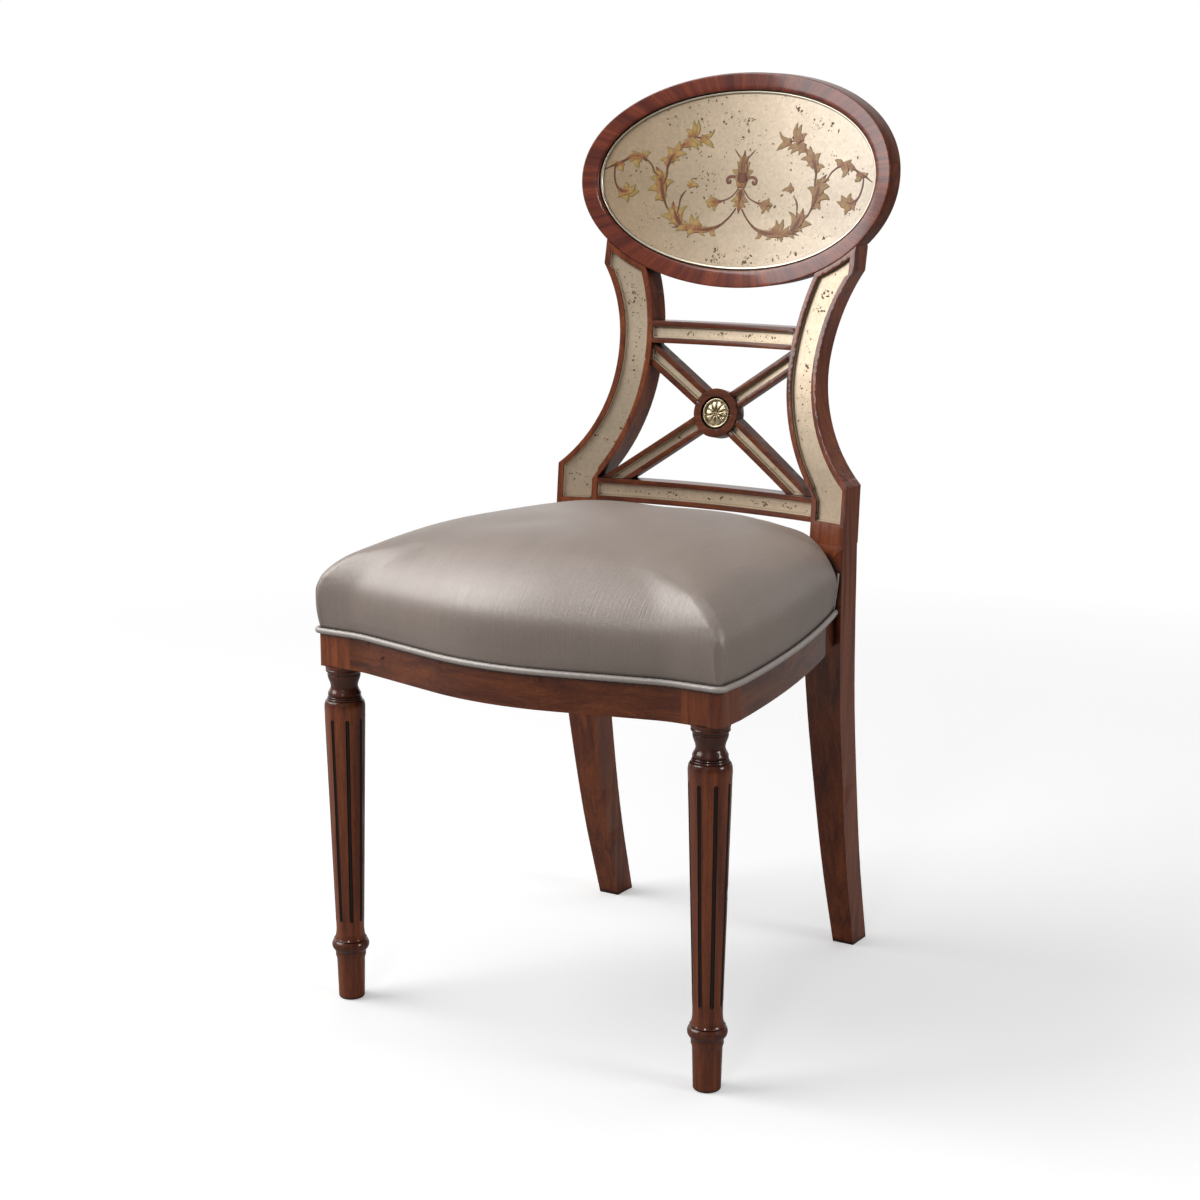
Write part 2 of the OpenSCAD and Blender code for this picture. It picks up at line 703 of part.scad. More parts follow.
// Dowels of the seat frame
front_end = 0;
rear_end = 1;
module dowel_x(r, x0, x1) {
    translate([x0, 0, 0]) rotate([0, 90, 0]) cylinder(r = r, h = x1 - x0, $fn = 48);
}
module dowel_y(r, y0, y1) {
    translate([0, y0, 0]) rotate([-90, 0, 0]) cylinder(r = r, h = y1 - y0, $fn = 48);
}
rail_dowel_z = [
    (rail_z + rail_top_z - rail_dowel_pitch) / 2, (rail_z + rail_top_z + rail_dowel_pitch) / 2
];
front_dowel_y = block_y + (rail_t + rebate) / 2;
side_dowel_in = 2;
side_dowel_x = [
    seat_half_w - (rail_t + rebate) / 2 - side_dowel_in,
    seat_back_half_w - (rail_t + rebate) / 2 + side_dowel_in
];
rear_dowel_y = rear_rail_y + (rail_t - rebate) / 2;
module front_rail_dowel_set() {
    for (z = rail_dowel_z)
        translate([0, front_dowel_y, z])
            dowel_x(rail_dowel_r, block_in_x - rail_dowel_in, block_in_x + leg_dowel_in);
}
module side_rail_dowel_set(end) {
    y = end == front_end ? block_back_y : seat_depth;
    y0 = end == front_end ? y - leg_dowel_in : y - rail_dowel_in;
    y1 = end == front_end ? y + rail_dowel_in : y + leg_dowel_in;
    for (z = rail_dowel_z)
        translate([side_dowel_x[end], 0, z]) dowel_y(rail_dowel_r, y0, y1);
}
module rear_rail_dowel_set() {
    for (z = rail_dowel_z)
        translate([0, rear_dowel_y, z])
            dowel_x(rail_dowel_r, leg_in_x - rail_dowel_in, leg_in_x + leg_dowel_in);
}
module rail_dowels() {
    color(secondary_wood)
        centred() for (side = [left, right]) on_side(side) {
            front_rail_dowel_set();
            side_rail_dowel_set(front_end);
            side_rail_dowel_set(rear_end);
            rear_rail_dowel_set();
        }
}

// Corner blocks and their screws
front_screw = 0;
side_screw = 1;
rear_screw = 2;
corner_z = rail_z + 8;
front_corner = [block_in_x, block_back_y];
rear_corner = [leg_in_x, rear_rail_y];
rail_in_x = function (y) side_c[0] + sqrt(pow(side_r - rail_t, 2) - pow(y - side_c[1], 2));
module corner_wedge(c, dy) {
    polygon([
        [c[0] - corner_leg, c[1] - dy * plan_size], [c[0] - corner_leg, c[1]],
        [c[0], c[1] + dy * corner_leg], [c[0] + plan_size, c[1] + dy * corner_leg],
        [c[0] + plan_size, c[1] - dy * plan_size]
    ]);
}
module front_corner_block(side) {
    color(secondary_wood)
        centred() on_side(side) difference() {
            translate([0, 0, corner_z]) linear_extrude(corner_h) difference() {
                intersection() {
                    polygon(seat_outline(rail_t, rear_rail_y));
                    corner_wedge(front_corner, 1);
                }
                translate([block_in_x, block_y]) square([block_w, block_d]);
            }
            front_block_screw(front_screw);
            front_block_screw(side_screw);
        }
}
module rear_corner_block(side) {
    color(secondary_wood)
        centred() on_side(side) difference() {
            translate([0, 0, corner_z]) linear_extrude(corner_h) intersection() {
                polygon(seat_outline(rail_t, rear_rail_y));
                corner_wedge(rear_corner, -1);
            }
            square_leg();
            rear_block_screw(rear_screw);
            rear_block_screw(side_screw);
        }
}
screw_z = corner_z + corner_h / 2;
screw_pitch = 8;
screw_step = corner_leg / 3;
head_h = 3;
module screw_shape(grip) {
    translate([0, 0, -grip]) {
        cylinder(r = screw_r, h = grip + screw_in, $fn = 32);
        cylinder(r1 = screw_head_r, r2 = screw_r, h = head_h, $fn = 32);
    }
}
module screw_y(x, y, way, grip) {
    translate([x, y, screw_z - screw_pitch / 2]) rotate([-90 * way, 0, 0]) screw_shape(grip);
}
module screw_x(x, y, grip) {
    translate([x, y, screw_z + screw_pitch / 2]) rotate([0, 90, 0]) screw_shape(grip);
}
front_inner_y = function (x)
    let (a = [for (p = half_outline(rail_t)) if (p[0] <= x && p[1] < block_back_y) p]) a[len(a) - 1][1];
module front_block_screw(which) {
    fx = block_in_x - screw_step;
    sy = block_back_y + screw_step;
    if (which == front_screw)
        screw_y(fx, front_inner_y(fx), -1, block_back_y + corner_leg - screw_step - front_inner_y(fx));
    if (which == side_screw)
        screw_x(rail_in_x(sy), sy, rail_in_x(sy) - front_corner[0] + corner_leg - screw_step);
}
module rear_block_screw(which) {
    rx = leg_in_x - screw_step;
    sy = rear_rail_y - 2 * screw_step;
    if (which == rear_screw)
        screw_y(rx, rear_rail_y, 1, corner_leg - screw_step);
    if (which == side_screw)
        screw_x(rail_in_x(sy), sy, rail_in_x(sy) - leg_in_x + screw_step);
}
module block_screws() {
    color(steel)
        centred() for (side = [left, right]) on_side(side) {
            front_block_screw(front_screw);
            front_block_screw(side_screw);
            rear_block_screw(rear_screw);
            rear_block_screw(side_screw);
        }
}

// Oval: ring, painted panel, metal fillet, board behind, and dowels into the stiles
board_set = panel_set + panel_t;
oval_dowel_x = [122, 146];
oval_dowel_set = 16.5;
module oval_dowel_pair() {
    for (x = oval_dowel_x)
        translate([x, face_y(x, oval_low_z(x)) + oval_dowel_set, oval_low_z(x) - 2 * back_dowel_in])
            cylinder(r = oval_dowel_r, h = 3 * back_dowel_in, $fn = 48);
}
module oval_dowels() {
    color(secondary_wood)
        centred() for (side = [left, right]) on_side(side) oval_dowel_pair();
}
module oval_slab(d, d0, d1) {
    intersection() {
        through_back() polygon(oval_outline(d));
        layer(oval_bottom_z - past, total_h + past, d0, d1);
    }
}
module oval_ring() {
    color(mahogany)
        centred() difference() {
            oval_slab(0, 0, ring_t);
            through_back() polygon(oval_outline(ring_w));
            oval_slab(ring_w - panel_rebate, panel_set, ring_t + past);
            for (side = [left, right]) on_side(side) oval_dowel_pair();
        }
}
module oval_panel() {
    color(gilt)
        centred() oval_slab(ring_w - panel_rebate + glue_gap, panel_set, board_set - glue_gap);
}
module oval_back_board() {
    color(mahogany)
        centred() oval_slab(ring_w - panel_rebate + glue_gap, board_set, board_set + board_t);
}
module oval_fillet() {
    color(brass)
        centred() difference() {
            oval_slab(ring_w + glue_gap, panel_set - fillet_h, panel_set - glue_gap);
            through_back() polygon(oval_outline(ring_w + glue_gap + fillet_w));
        }
}

// Cross rails
module rail_plan(z, h, d) {
    reach = z > centre_z ? (waist_in_x + waist_out_x) / 2 : (leg_in_x + knee_x) / 2;
    translate([-reach, z + d]) square([2 * reach, h - 2 * d]);
}
module stile_gap(d) {
    for (side = [left, right])
        mirror([side < 0 ? 1 : 0, 0]) polygon(stile_outline(-d, low_rail_z - stile_over));
}
module cross_rail(z, h) {
    difference() {
        intersection() {
            through_back() difference() {
                rail_plan(z, h, 0);
                stile_gap(0);
            }
            layer(z - past, z + h + past, 0, cross_rail_t);
        }
        intersection() {
            through_back() difference() {
                rail_plan(z, h, slim_bead_w);
                stile_gap(end_bead_w);
            }
            layer(z, z + h, -past, slim_channel_d + liner_t);
        }
        for (side = [left, right]) on_side(side) cross_rail_dowel_pair();
    }
}
module rail_channel(z, h) {
    difference() {
        intersection() {
            through_back() difference() {
                rail_plan(z, h, slim_bead_w + glue_gap);
                stile_gap(end_bead_w + glue_gap);
            }
            layer(z, z + h, liner_lip, slim_channel_d + liner_t);
        }
        intersection() {
            through_back() difference() {
                rail_plan(z, h, slim_bead_w + glue_gap + liner_wall);
                stile_gap(end_bead_w + glue_gap + liner_wall);
            }
            layer(z, z + h, -past, slim_channel_d);
        }
    }
}
module upper_cross_rail() {
    color(mahogany) centred() cross_rail(top_rail_z, top_rail_h);
}
module lower_cross_rail() {
    color(mahogany) centred() cross_rail(low_rail_z, low_rail_h);
}
module upper_rail_channel() {
    color(gilt) centred() rail_channel(top_rail_z, top_rail_h);
}
module lower_rail_channel() {
    color(gilt) centred() rail_channel(low_rail_z, low_rail_h);
}
stile_in_high = function (z) waist_in_x + in_high_r - sqrt(pow(in_high_r, 2) - pow(z - waist_z, 2));
module cross_rail_dowel_at(x, z) {
    translate([0, face_y(x, z) + back_dowel_set, z])
        dowel_x(back_dowel_r, x - back_dowel_in, x + back_dowel_in);
}
module cross_rail_dowel_pair() {
    cross_rail_dowel_at(stile_in_high(top_rail_z + top_rail_h / 2), top_rail_z + top_rail_h / 2);
    cross_rail_dowel_at(leg_in_x, low_rail_z + low_rail_h / 2);
}
module cross_rail_dowels() {
    color(secondary_wood)
        centred() for (side = [left, right]) on_side(side) cross_rail_dowel_pair();
}

// Lattice: four arms round a roundel, in the window between stiles and cross rails
arm_a = atan(arm_slope);
arm_reach = 200;
module roundel_frame() {
    translate([0, back_y(centre_z), centre_z]) rotate([90 - lean(centre_z), 0, 0]) children();
}
module roundel_core(r) {
    roundel_frame() translate([0, 0, -roundel_set - 2 * roundel_t])
        cylinder(r = r, h = 3 * roundel_t, $fn = round_fn);
}
module arm_plan(level, d, end_d) {
    difference() {
        translate([0, centre_z]) rotate(level * arm_a)
            translate([0, -arm_w / 2 + d]) square([arm_reach, arm_w - 2 * d]);
        stile_gap(end_d);
        rail_plan(top_rail_z - end_d, top_rail_h * 2, 0);
        rail_plan(low_rail_z - stile_over, low_rail_h + stile_over + end_d, 0);
    }
}
module arm_dowel(level) {
    roundel_frame() translate([0, 0, -back_dowel_set])
        rotate(level * atan(arm_slope / cos(lean(centre_z))))
            dowel_x(slim_dowel_r, roundel_r - back_dowel_in, roundel_r + back_dowel_in);
}
module lattice_arm(side, level) {
    z0 = level > 0 ? centre_z : low_rail_z;
    z1 = level > 0 ? top_rail_z + past : centre_z + arm_w;
    color(mahogany)
        centred() on_side(side) difference() {
            intersection() {
                through_back() arm_plan(level, 0, 0);
                layer(z0 - past, z1 + past, arm_set, arm_set + arm_t);
            }
            roundel_core(roundel_r);
            intersection() {
                through_back() arm_plan(level, slim_bead_w, end_bead_w);
                layer(z0, z1, 0, arm_set + slim_channel_d + liner_t);
            }
            arm_dowel(level);
        }
}
module arm_channel(side, level) {
    z0 = level > 0 ? centre_z : low_rail_z;
    z1 = level > 0 ? top_rail_z + past : centre_z + arm_w;
    color(gilt)
        centred() on_side(side) difference() {
            intersection() {
                through_back() arm_plan(level, slim_bead_w + glue_gap, end_bead_w + glue_gap);
                layer(z0, z1, arm_set + liner_lip, arm_set + slim_channel_d + liner_t);
            }
            roundel_core(roundel_r + glue_gap);
            intersection() {
                through_back() arm_plan(
                    level, slim_bead_w + glue_gap + liner_wall, end_bead_w + glue_gap + liner_wall
                );
                layer(z0 - past, z1 + past, 0, arm_set + slim_channel_d);
            }
        }
}
module lattice_dowels() {
    color(secondary_wood)
        centred() for (side = [left, right], level = [upper, lower]) on_side(side) arm_dowel(level);
}
module roundel() {
    color(mahogany)
        centred() difference() {
            roundel_frame() translate([0, 0, -roundel_set - roundel_t]) difference() {
                cylinder(r = roundel_r, h = roundel_t, $fn = round_fn);
                translate([0, 0, roundel_t - roundel_sink])
                    cylinder(r = roundel_sink_r, h = roundel_sink + past, $fn = round_fn);
                translate([0, 0, roundel_t - roundel_sink - stud_len])
                    cylinder(r = stud_r + glue_gap, h = stud_len + past, $fn = 32);
            }
            for (side = [left, right], level = [upper, lower]) on_side(side) arm_dowel(level);
        }
}
rosette_t = 1.6;
rim_r = 1.3;
boss_r = 2.8;
petal_r = 7.6;
petal_out = 8.4;
petal_w = 4.2;
petal_h = 1.1;
rosette_profile = concat(
    [[0, 0], [rosette_r, 0]],
    arc([rosette_r - rim_r, rosette_t], rim_r, 0, 180, 8),
    arc([0, rosette_t], boss_r, 0, 90, 6)
);
module rosette() {
    color(brass)
        centred() roundel_frame() translate([0, 0, -roundel_set - roundel_sink]) {
            rotate_extrude($fn = round_fn) polygon(rosette_profile);
            for (i = [0:petals - 1])
                rotate(360 * i / petals) translate([petal_out, 0, rosette_t])
                    intersection() {
                        translate([0, 0, petal_h - petal_r]) sphere(r = petal_r, $fn = 48);
                        translate([-petal_r, -petal_w / 2, -rosette_t / 2])
                            cube([2 * petal_r, petal_w, petal_r]);
                    }
        }
}
module rosette_stud() {
    color(brass)
        centred() roundel_frame() translate([0, 0, -roundel_set - roundel_sink - stud_len])
            cylinder(r = stud_r, h = stud_len, $fn = 32);
}

// Webbing, hessian and the cloth under the seat
web_z = rail_top_z;
tack_inset = 7;
module web_area() {
    polygon(seat_outline(rebate + tack_inset, rear_rail_back_y - rebate - tack_inset));
}
module rear_leg_notch(gap) {
    for (side = [left, right])
        mirror([side < 0 ? 1 : 0, 0]) translate([leg_in_x - gap, seat_depth - gap]) square(plan_size / 2);
}
module long_webbing() {
    pitch = 2 * (leg_in_x - strap_w / 2 - tack_inset) / (long_straps - 1);
    color(jute)
        centred() translate([0, 0, web_z]) linear_extrude(strap_t) intersection() {
            web_area();
            union() {
                for (i = [0:long_straps - 1])
                    translate([(i - (long_straps - 1) / 2) * pitch - strap_w / 2, front_y])
                        square([strap_w, plan_size]);
            }
        }
}
module cross_webbing() {
    first_y = block_y + strap_w / 2;
    pitch = (seat_depth - strap_w - first_y) / (cross_straps - 1);
    color(jute)
        centred() translate([0, 0, web_z + strap_t]) linear_extrude(strap_t) intersection() {
            web_area();
            union() {
                for (i = [0:cross_straps - 1])
                    translate([-plan_size / 2, first_y + i * pitch - strap_w / 2 + strap_w / 4])
                        square([plan_size, strap_w]);
            }
        }
}
hessian_z = web_z + 2 * strap_t;
module hessian() {
    color(jute)
        centred() translate([0, 0, hessian_z]) linear_extrude(hessian_t) difference() {
            polygon(seat_outline(rebate + tack_inset / 2, rear_rail_back_y - rebate - tack_inset / 2));
            rear_leg_notch(glue_gap);
        }
}
dust_inset = 5;
module dust_cover() {
    color(black_cloth)
        centred() translate([0, 0, rail_z - dust_t]) linear_extrude(dust_t) difference() {
            polygon(seat_outline(dust_inset, rear_rail_back_y - dust_inset));
            rear_leg_notch(2 * past);
            for (side = [left, right])
                translate([side * leg_x, 0]) circle(r = cap_r + 2 * past, $fn = 64);
        }
}

// Cushion: sides that swell, a roll over them and a crown
cushion_c = [0, 121.5];
cushion_base_z = rail_mid_z;
cushion_end_y = rear_rail_back_y;
rim_steps = 6;
rear_steps = 6;
side_rows = 4;
top_rows = 8;
// Share of the roll that fades at the two front corners, and how wide that is
corner_soft = 0.15;
corner_spread = 15.3;
crown_power = 2.42;
// Stretch of the seat's depth along which the sides' swell fades
swell_fade = 290;
// Middle and width of the dip in front of each rear leg
dip_x = 150;
dip_spread = 60;
// The cover's foot sits in the rebate, this far behind the rail's face
foot_slack = 0.8;
cover_in = rebate - cover_t - foot_slack;
function rear_x(i) = seat_back_half_w * (1 - 2 * i / rear_steps);
cushion_rim = concat(
    half_outline(0, rim_steps),
    [for (i = [0:rear_steps]) [rear_x(i), cushion_end_y]],
    [for (i = [0:len(half_outline(0, rim_steps)) - 2]) flip(half_outline(0, rim_steps))[i]]
);
rim_n = len(cushion_rim);
function rim_out(i) =
    let (v = cushion_rim[(i + 1) % rim_n] - cushion_rim[(i + rim_n - 1) % rim_n])
    [v[1], -v[0]] / norm(v);
function corner_weight(p) =
    let (a = atan2(p[1] - cushion_c[1], p[0]), c = atan2(block_y - cushion_c[1], seat_half_w))
    exp(-pow(min(abs(a - c), abs(a + 180 + c)) / corner_spread, 2));
function fade(y) =
    let (b = min(1, max(0, (y - seat_depth + swell_fade) / swell_fade))) b * b * (3 - 2 * b);
function swell_of(i) = cover_in + swell + (rear_swell - swell) * fade(cushion_rim[i][1]);
function side_point(i, t, d) =
    let (q = cushion_rim[i] + (swell_of(i) * sin(90 * t) - cover_in - d) * rim_out(i))
    [q[0], q[1], cushion_base_z + side_h * t];
function top_point(i, t, d) =
    let (e = side_point(i, 1, d), flat = [e[0], e[1]] - cushion_c, in = norm(flat) * pow(t, 1.8))
    let (rho = 1 - in / norm(flat), q = cushion_c + flat * rho, k = max(0, 1 - in / roll_w))
    let (roll = roll_h * (1 - corner_soft * corner_weight(cushion_rim[i])) * sqrt(1 - k * k))
    let (away = norm([abs(q[0]) - dip_x, q[1] - seat_depth]) / dip_spread)
    [
        q[0], q[1],
        e[2] + roll + crown_h * (1 - pow(rho, crown_power)) - rear_dip * exp(-away * away) - d * t
    ];
module cushion_form(d, base_z) {
    n = rim_n;
    rows = side_rows + top_rows;
    pts = [
        for (k = [0:rows - 1], i = [0:n - 1])
            let (t = (k - side_rows) / top_rows)
            let (p = k <= side_rows ? side_point(i, k / side_rows, d) : top_point(i, t, d))
            [p[0], p[1], k == 0 ? base_z : max(p[2], base_z + k * slice_h)],
        [cushion_c[0], cushion_c[1], cushion_base_z + side_h + roll_h + crown_h - d],
        [cushion_c[0], cushion_c[1], base_z]
    ];
    top = rows * n;
    faces = concat(
        [for (k = [0:rows - 2], i = [0:n - 1]) [k * n + i, (k + 1) * n + i, (k + 1) * n + (i + 1) % n]],
        [for (k = [0:rows - 2], i = [0:n - 1]) [k * n + i, (k + 1) * n + (i + 1) % n, k * n + (i + 1) % n]],
        [for (i = [0:n - 1]) [(rows - 1) * n + i, top, (rows - 1) * n + (i + 1) % n]],
        [for (i = [0:n - 1]) [i, (i + 1) % n, top + 1]]
    );
    polyhedron(points = pts, faces = faces);
}
module leg_notches(gap) {
    translate([0, 0, rail_z]) linear_extrude(plan_size / 2) rear_leg_notch(gap);
}
// The cover's walls beside the rear legs end above the rails and the hessian
notch_reach = 6;
module notch_feet() {
    translate([0, 0, cushion_base_z - past])
        linear_extrude(hessian_z + hessian_t + glue_gap - cushion_base_z + past) intersection() {
            rear_leg_notch(notch_reach);
            polygon(seat_outline(rebate - foot_slack / 2, rear_rail_back_y - rebate + foot_slack / 2));
        }
}
module seat_cover() {
    color(fabric)
        centred() difference() {
            cushion_form(0, cushion_base_z);
            leg_notches(glue_gap);
            notch_feet();
            difference() {
                cushion_form(cover_t, cushion_base_z - past);
                leg_notches(glue_gap + cover_t);
            }
        }
}
module seat_foam() {
    color(foam_colour)
        centred() difference() {
            cushion_form(cover_t + glue_gap, hessian_z + hessian_t);
            leg_notches(cover_t + 2 * glue_gap);
        }
}

// Piping along the lower edge of the cover
piping_sides = 8;
piping_z = rail_mid_z + piping_r;
piping_out = 2.1;
function tube_ring(p, q, r) =
    let (t = (q - p) / norm(q - p))
    [for (s = [0:piping_sides - 1]) let (a = 360 * s / piping_sides)
        [r * cos(a) * t[1], -r * cos(a) * t[0], r * sin(a)]];
module tube(path, r) {
    n = len(path);
    s = piping_sides;
    pts = [for (i = [0:n - 1]) for (p = tube_ring(path[max(i - 1, 0)], path[min(i + 1, n - 1)], r))
        [path[i][0], path[i][1], 0] + p];
    faces = concat(
        [for (i = [0:n - 2], k = [0:s - 1])
            [i * s + k, (i + 1) * s + k, (i + 1) * s + (k + 1) % s, i * s + (k + 1) % s]],
        [[for (k = [0:s - 1]) k]],
        [[for (k = [s - 1:-1:0]) (n - 1) * s + k]]
    );
    polyhedron(points = pts, faces = faces);
}
module front_piping() {
    half = half_outline(-piping_out);
    color(fabric)
        centred() translate([0, 0, piping_z])
            tube(concat(flip(half), [for (i = [1:len(half) - 1]) half[i]]), piping_r);
}
module rear_piping() {
    color(fabric)
        centred() translate([0, rear_rail_back_y + piping_out, piping_z])
            dowel_x(piping_r, glue_gap - leg_in_x, leg_in_x - glue_gap);
}

front_leg(left);  // front_leg_left
front_leg(right);  // front_leg_right
rear_leg(left);  // rear_leg_left
rear_leg(right);  // rear_leg_right
front_rail();
side_rail(left);  // side_rail_left
side_rail(right);  // side_rail_right
rear_rail();
front_corner_block(left);  // corner_block_front_left
front_corner_block(right);  // corner_block_front_right
rear_corner_block(left);  // corner_block_rear_left
rear_corner_block(right);  // corner_block_rear_right
rail_dowels();
block_screws();
oval_ring();
oval_panel();
oval_fillet();
oval_back_board();
oval_dowels();
stile_channel(left);  // stile_channel_left
stile_channel(right);  // stile_channel_right
upper_cross_rail();
lower_cross_rail();
upper_rail_channel();
lower_rail_channel();
cross_rail_dowels();
lattice_arm(left, upper);  // lattice_arm_upper_left
lattice_arm(right, upper);  // lattice_arm_upper_right
lattice_arm(left, lower);  // lattice_arm_lower_left
lattice_arm(right, lower);  // lattice_arm_lower_right
arm_channel(left, upper);  // arm_channel_upper_left
arm_channel(right, upper);  // arm_channel_upper_right
arm_channel(left, lower);  // arm_channel_lower_left
arm_channel(right, lower);  // arm_channel_lower_right
lattice_dowels();
roundel();
rosette();
rosette_stud();
long_webbing();
cross_webbing();
hessian();
seat_foam();
seat_cover();
front_piping();
rear_piping();
dust_cover();
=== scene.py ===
"""Side chair with an oval back, a lattice splat and a satin seat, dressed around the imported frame."""
import math
import random

import bmesh
import bpy
import numpy as np
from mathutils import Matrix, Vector
from mathutils.kdtree import KDTree


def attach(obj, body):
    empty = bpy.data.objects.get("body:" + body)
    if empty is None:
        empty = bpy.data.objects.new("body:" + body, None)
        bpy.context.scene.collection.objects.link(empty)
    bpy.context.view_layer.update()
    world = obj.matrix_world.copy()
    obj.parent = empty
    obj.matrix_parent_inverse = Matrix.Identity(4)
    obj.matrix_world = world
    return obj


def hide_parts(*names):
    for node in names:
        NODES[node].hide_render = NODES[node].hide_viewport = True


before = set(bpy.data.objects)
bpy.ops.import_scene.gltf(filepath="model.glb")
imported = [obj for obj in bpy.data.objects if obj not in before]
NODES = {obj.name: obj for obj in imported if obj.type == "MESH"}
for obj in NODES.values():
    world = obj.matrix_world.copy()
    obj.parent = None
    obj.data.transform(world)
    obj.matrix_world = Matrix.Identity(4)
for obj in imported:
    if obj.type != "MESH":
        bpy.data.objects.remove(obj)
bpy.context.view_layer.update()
scene = bpy.context.scene
MM = 0.001

# The CAD's own sizes in millimetres, with y from the axis of the front legs
RAIL_MID_Z = 404.0
SEAT_HALF_W = 240.0
SEAT_BACK_HALF_W = 176.0
BLOCK_FRONT = 17.5
BLOCK_W = 42.0
BLOCK_D = 40.0
CORNER_R = 6.0
BOW_DEPTH = 36.5
BOW_R = 300.0
REVERSE_R = 120.0
SIDE_BOW = 9.0
SEAT_DEPTH = 348.0
REAR_BACK_Y = 380.0
LEG_IN_X = 138.0
SWELL = 7.0
REAR_SWELL = -6.0
FLANK_SWELL = 4.5
SWELL_FADE = 290.0
SIDE_H = 48.0
ROLL_H = 42.0
ROLL_W = 98.0
CROWN_H = 33.5
CROWN_POWER = 2.42
REAR_DIP = 11.0
DIP_X = 150.0
DIP_SPREAD = 60.0
COVER_IN = 2.2
PIPING_R = 3.1
PIPING_OUT = 2.1
MID_DEPTH = 216.0
OVAL_W = 388.0
OVAL_H = 236.0
OVAL_Z = 862.0
RING_W = 18.9
BEND_R = 680.0
RING_T = 27.3
OVAL_POWER = 2.05
OVAL_EGG = 0.000246
PANEL_REBATE = 5.0
PANEL_SET = 6.0
CHANNEL_D = 4.0
CENTRE_Z = 607.0
ROUNDEL_SET = 2.5
ROUNDEL_SINK = 4.0
ROSETTE_R = 17.0
BLOCK_Y = -BLOCK_FRONT
FRONT_Y = BLOCK_Y - BOW_DEPTH
BLOCK_IN_X = SEAT_HALF_W - BLOCK_W
BACK_KNOTS = (
    (480.0, 376.9), (560.0, 384.9), (640.0, 400.0), (720.0, 420.5), (800.0, 438.0), (880.0, 450.5),
    (980.0, 465.7),
)
BEND_Z = 700.0


def curve_at(knots, place):
    """Smooth curve through pairs of place and value, as in the CAD."""
    last = len(knots) - 1
    i = 0
    while i < last - 1 and place >= knots[i + 1][0]:
        i += 1

    def slope(k):
        a, b = max(k - 1, 0), min(k + 1, last)
        return (knots[b][1] - knots[a][1]) / (knots[b][0] - knots[a][0])

    width = knots[i + 1][0] - knots[i][0]
    t = (place - knots[i][0]) / width
    t2, t3 = t * t, t * t * t
    return (
        (2 * t3 - 3 * t2 + 1) * knots[i][1]
        + (t3 - 2 * t2 + t) * width * slope(i)
        + (3 * t2 - 2 * t3) * knots[i + 1][1]
        + (t3 - t2) * width * slope(i + 1)
    )


BEND_Y = curve_at(BACK_KNOTS, BEND_Z) - BEND_R


def face_y(x, z):
    """Depth of the back's curved face."""
    return BEND_Y + math.sqrt((curve_at(BACK_KNOTS, z) - BEND_Y) ** 2 - x * x)


def on_back(x, z, depth):
    """A point at some depth behind the back's face."""
    return (x, face_y(x, z) + depth, z)


def metres(points):
    """Millimetres from the front legs' axis to metres in the frame."""
    return [(x * MM, (y - MID_DEPTH) * MM, z * MM) for x, y, z in points]


def turns(count):
    """Even angles round a circle."""
    return [2 * math.pi * k / count for k in range(count)]


def turned(x, y, angle):
    """A flat point turned about the origin."""
    return x * math.cos(angle) - y * math.sin(angle), x * math.sin(angle) + y * math.cos(angle)


def run_along(path):
    """Length of a path up to each of its points."""
    return np.r_[0, np.cumsum(np.linalg.norm(np.diff(path, axis=0), axis=1))]


def headings(path):
    """Unit directions along a path."""
    ahead = np.gradient(path, axis=0)
    return ahead / np.maximum(np.linalg.norm(ahead, axis=1), 1e-6)[:, None]


def outward(path):
    """Unit normals of a flat open path that runs anticlockwise."""
    ahead = headings(path)
    return np.c_[ahead[:, 1], -ahead[:, 0]]


# Camera
YAW = 32.287
PITCH = 11.919
FOCAL_PX = 2176.745
PHOTO_PX = 1200.0
SENSOR = 36.0
CAMERA_AT = (1190.88, -1731.14, 905.6)
camera_data = bpy.data.cameras.new("camera")
camera_data.sensor_width = SENSOR
camera_data.lens = SENSOR * FOCAL_PX / PHOTO_PX
camera = bpy.data.objects.new("camera", camera_data)
camera.location = metres([CAMERA_AT])[0]
camera.rotation_euler = (math.radians(90 - PITCH), 0, math.radians(YAW))
scene.collection.objects.link(camera)
scene.camera = camera
scene.view_settings.view_transform = "Standard"


# Node helpers
FINE_RELIEF = 0.0002


def feed(tree, socket, value):
    if isinstance(value, bpy.types.NodeSocket):
        tree.links.new(value, socket)
    else:
        socket.default_value = value


def add(tree, kind, sockets=None, **props):
    """A new node, with values or links for its sockets."""
    made = tree.nodes.new("ShaderNode" + kind)
    for name, value in props.items():
        setattr(made, name, value)
    for name, value in (sockets or {}).items():
        feed(tree, made.inputs[name], value)
    return made


def calc(tree, operation, *values):
    return add(tree, "Math", dict(enumerate(values)), operation=operation).outputs[0]


def mix(tree, factor, first, second, blend="MIX"):
    """A colour mix, whose sockets for colours are 6 and 7."""
    made = add(tree, "Mix", data_type="RGBA", blend_type=blend)
    for index, value in ((0, factor), (6, first), (7, second)):
        feed(tree, made.inputs[index], value)
    return made.outputs[2]


def ramp(tree, factor, *stops):
    made = add(tree, "ValToRGB", {0: factor})
    elements = made.color_ramp.elements
    while len(elements) < len(stops):
        elements.new(0.5)
    for element, (place, value) in zip(elements, stops):
        element.position = place
        element.color = value if isinstance(value, tuple) else (value, value, value, 1)
    return made.outputs[0]


def noise(tree, vector, scale, detail=2.0, roughness=0.5, distortion=0.0):
    made = add(tree, "TexNoise", {
        "Vector": vector, "Scale": scale, "Detail": detail, "Roughness": roughness,
        "Distortion": distortion,
    })
    return made.outputs[0]


